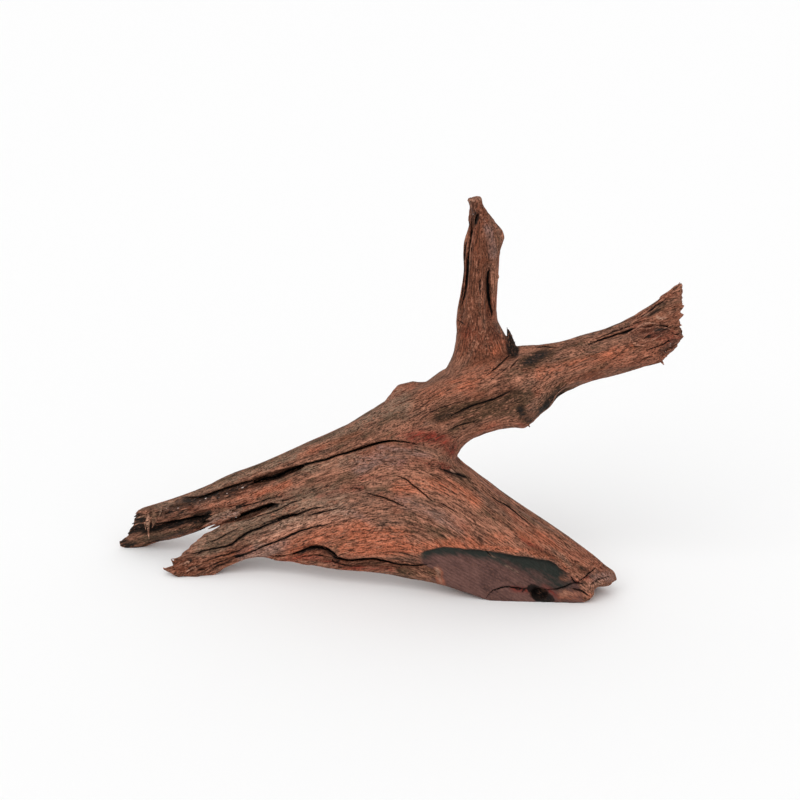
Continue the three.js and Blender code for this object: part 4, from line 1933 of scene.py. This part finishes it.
    def splinter_path(self, splinter: Splinter, tree: BVHTree) -> list[Vector]:
        """Lays a splinter's line over the skin, set in it at the start and lifted to the tip.

        Args:
            splinter: Its line in the picture.
            tree: The skin.

        Returns:
            One place in metres for each ring of the splinter.
        """
        eye = Vector(self.view.placed(np.array([0, 0, self.view.distance / MM])))
        middle = self.view.frame_width / 2
        start, bend, tip = (Vector(spot) for spot in splinter.path)
        depth = None
        places = []
        for share in np.linspace(0, 1, self.splinter_rings):
            spot = start * (1 - share) ** 2 + bend * 2 * share * (1 - share) + tip * share**2
            aim = np.array([PIXEL * (spot.x - middle), PIXEL * (middle - spot.y), 0.0])
            way = (Vector(self.view.placed(aim)) - eye).normalized()
            hit = tree.ray_cast(eye, way)[0]
            reach = (hit - eye).length if hit else None
            if depth is None:
                depth = reach or self.view.distance
            elif reach is not None:
                nearest = depth - self.splinter_climb * MM
                depth = min(max(reach, nearest), depth + splinter.give * MM)
            lift = splinter.lift * min(1.0, 2 * share)
            places.append(eye + way * (depth - lift * MM))
        return places

    def splinter(self, splinter: Splinter, tree: BVHTree) -> bpy.types.Mesh:
        """Makes one splinter, flattened, bowed and drawn to a point.

        Args:
            splinter: Its line and width.
            tree: The skin it stands on.

        Returns:
            Its mesh.
        """
        places = self.splinter_path(splinter, tree)
        reach = places[-1] - places[0]
        radius = 0.5 * splinter.width * MM
        side = reach.cross(Vector(self.view.axes()[2])).normalized()
        turn = Matrix((side, reach.cross(side).normalized(), reach.normalized())).transposed()
        work = bmesh.new()
        bmesh.ops.create_cone(
            work, cap_ends=True, segments=self.splinter_sides, radius1=radius, radius2=radius,
            depth=reach.length,
        )
        lengthwise = [
            edge for edge in work.edges
            if abs(edge.verts[0].co.z - edge.verts[1].co.z) > reach.length / 2
        ]
        bmesh.ops.subdivide_edges(work, edges=lengthwise, cuts=self.splinter_rings - 2)
        for vert in work.verts:
            share = vert.co.z / reach.length + 0.5
            line = places[round(share * (self.splinter_rings - 1))]
            swell = splinter.breadth(share)
            flat = vert.co.y * swell * splinter.flatness
            vert.co = line + turn @ Vector((vert.co.x * swell, flat, 0))
        mesh = bpy.data.meshes.new("splinter")
        work.to_mesh(mesh)
        work.free()
        return mesh

    def paint(self, piece: bpy.types.Object) -> None:
        """Lays what the material reads: grains, cracks, hollows and ridges for painted shade and
        highlights, and stains.

        Args:
            piece: The piece.
        """
        mesh = piece.data
        points, normals = points_of(mesh), normals_of(mesh)
        seen = self.view.seen(points)
        surface = Surface(seen, normals @ self.view.axes().T, self.view.picture(seen))
        front, pale = values_of(mesh, "front"), values_of(mesh, "splinter_pale")
        whole = values_of(mesh, "splinter_share") < 0.5
        root, branch = self.weights(surface)
        for name, places in self.grains(seen).items():
            lay_values(mesh, "grain_" + name, places)
        lay_values(mesh, "of_root", root)
        lay_values(mesh, "of_branch", branch)
        _, fine = self.relief(surface)
        _, named = self.marks(surface.shaken())
        named = np.where(front > self.marked_front, named, WHOLE)
        split = np.minimum(fine - self.split_edge, named)
        lay_values(mesh, "split", np.where(whole, split, WHOLE))
        # How sunk or proud each point is, which the material paints as shade in hollows and
        # highlights on ridges.
        near, wide = (
            ((smoothed_points(piece, rounds) - points) * normals).sum(axis=1) / MM
            for rounds in self.hollow_rounds
        )
        for name, (first, second), sign in (
            ("hollow", self.hollow_shares, 1), ("ridge", self.ridge_shares, -1)
        ):
            sunk = sign * (first * near + second * wide)
            lay_values(mesh, name, whole * np.clip(sunk, 0, self.hollow_most))
        self.stain(mesh, surface)
        # Pale splinters stand in front, so the painted shade and dark stains come off them.
        for tint in (Tint.CHAR_AND_SHADE, Tint.WET_AND_SHADE, Tint.MOSS_AND_SHADE):
            lay_values(mesh, tint.value, np.where(pale > 0, 0, values_of(mesh, tint.value)))
        bleached = np.maximum(values_of(mesh, Tint.BLEACH.value), pale)
        lay_values(mesh, Tint.BLEACH.value, bleached)

    def stain(self, mesh: bpy.types.Mesh, surface: Surface) -> None:
        """Lays the stains, with painted shade among them: listed on the side the viewer sees,
        scattered elsewhere.

        Args:
            mesh: The piece's mesh.
            surface: Its points.
        """
        front, picture = values_of(mesh, "front"), surface.shaken()
        shares = {tint: np.zeros(len(front)) for tint in Tint}
        for tint, stains in STAINS.items():
            for stain in stains:
                path = smooth_path(stain.path)
                inside = near_path(picture, path)
                gap, _, _ = nearest_on_path(picture[inside], path)
                patch = stain.strength * np.exp(-((gap / stain.width) ** 2)) * front[inside]
                shares[tint][inside] = np.maximum(shares[tint][inside], patch)
        for tint, (seed, least) in SCATTERED.items():
            noise = GrainNoise(seed).at(surface.seen, self.scatter_size)
            patch = self.scatter_strength * ease(noise, least, least + self.scatter_fade)
            shares[tint] = np.maximum(shares[tint], patch * (1 - front))
        # Painted shade: faces that point straight up are darkened in the olive colour, a dark
        # rim along the top outline.
        topmost = self.top_shade_strength * ease(surface.facing[:, 1], *self.top_shade_fade)
        shares[Tint.MOSS_AND_SHADE] = np.maximum(shares[Tint.MOSS_AND_SHADE], topmost)
        under_edge = values_of(mesh, "sawn") * ease(picture[:, 1], *self.foot.bare_fade)
        for tint in (Tint.EMBER, Tint.UMBER, Tint.MOSS_AND_SHADE):
            shares[tint] *= 1 - under_edge
        for tint, share in shares.items():
            lay_values(mesh, tint.value, share)
        # The painted shade under the sawn face's lip.
        lay_values(mesh, "sawn_lip_shade", self.foot.band(picture))


@dataclass(frozen=True)
class Lamp:
    """A wide soft light: the way it comes from, the degrees of sky it fills and its strength."""

    name: str
    come_from: Place
    spread: float
    strength: float

    def hang(self) -> None:
        """Hangs the light far off, so that it is even over the floor."""
        lamp = bpy.data.lights.new(self.name, "SUN")
        lamp.angle = math.radians(self.spread)
        lamp.energy = self.strength
        light = bpy.data.objects.new(self.name, lamp)
        light.location = self.come_from
        light.rotation_euler = Vector(self.come_from).to_track_quat("Z", "Y").to_euler()
        bpy.context.scene.collection.objects.link(light)


@dataclass
class Studio:
    """The plain pale floor, the soft lights and the pale surroundings."""

    floor_size: float = 120.0
    floor_colour: Colour = (0.95, 0.95, 0.95, 1.0)
    floor_roughness: float = 0.9
    sky: Colour = (1.0, 1.0, 1.0, 1.0)
    surround: float = 0.62
    lamps: tuple[Lamp, ...] = (
        Lamp("key", (-0.55, -1.0, 1.15), 50, 1.1),
        Lamp("fill", (0.9, -1.2, 0.9), 80, 0.5),
        Lamp("back", (0.3, 1.2, 1.4), 80, 0.4),
    )

    def build(self) -> None:
        """Sets the studio up."""
        self.lay_floor()
        for lamp in self.lamps:
            lamp.hang()
        world = bpy.data.worlds.new("studio")
        world.use_nodes = True
        background = world.node_tree.nodes["Background"]
        background.inputs["Color"].default_value = self.sky
        background.inputs["Strength"].default_value = self.surround
        bpy.context.scene.world = world
        bpy.context.scene.view_settings.view_transform = "Standard"

    def lay_floor(self) -> None:
        """Lays the floor."""
        work = bmesh.new()
        bmesh.ops.create_grid(work, x_segments=1, y_segments=1, size=self.floor_size / 2)
        mesh = bpy.data.meshes.new("studio_floor")
        work.to_mesh(mesh)
        work.free()
        floor = bpy.data.objects.new("studio_floor", mesh)
        bpy.context.scene.collection.objects.link(floor)
        material = bpy.data.materials.new("pale_floor")
        material.use_nodes = True
        shader = material.node_tree.nodes["Principled BSDF"]
        shader.inputs["Base Color"].default_value = self.floor_colour
        shader.inputs["Roughness"].default_value = self.floor_roughness
        mesh.materials.append(material)


def main() -> None:
    """Builds the piece and its studio, and reports what was made."""
    logging.basicConfig(level=logging.INFO, format="%(name)s: %(message)s")
    view = Viewpoint()
    view.place()
    piece = Driftwood(view).build(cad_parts["driftwood"])
    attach(piece, "root")
    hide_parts("driftwood")
    piece.data.calc_loop_triangles()
    log.info("%s: %d triangles", piece.name, len(piece.data.loop_triangles))
    Studio().build()
    log.info("studio set")


if __name__ == "__main__":
    main()
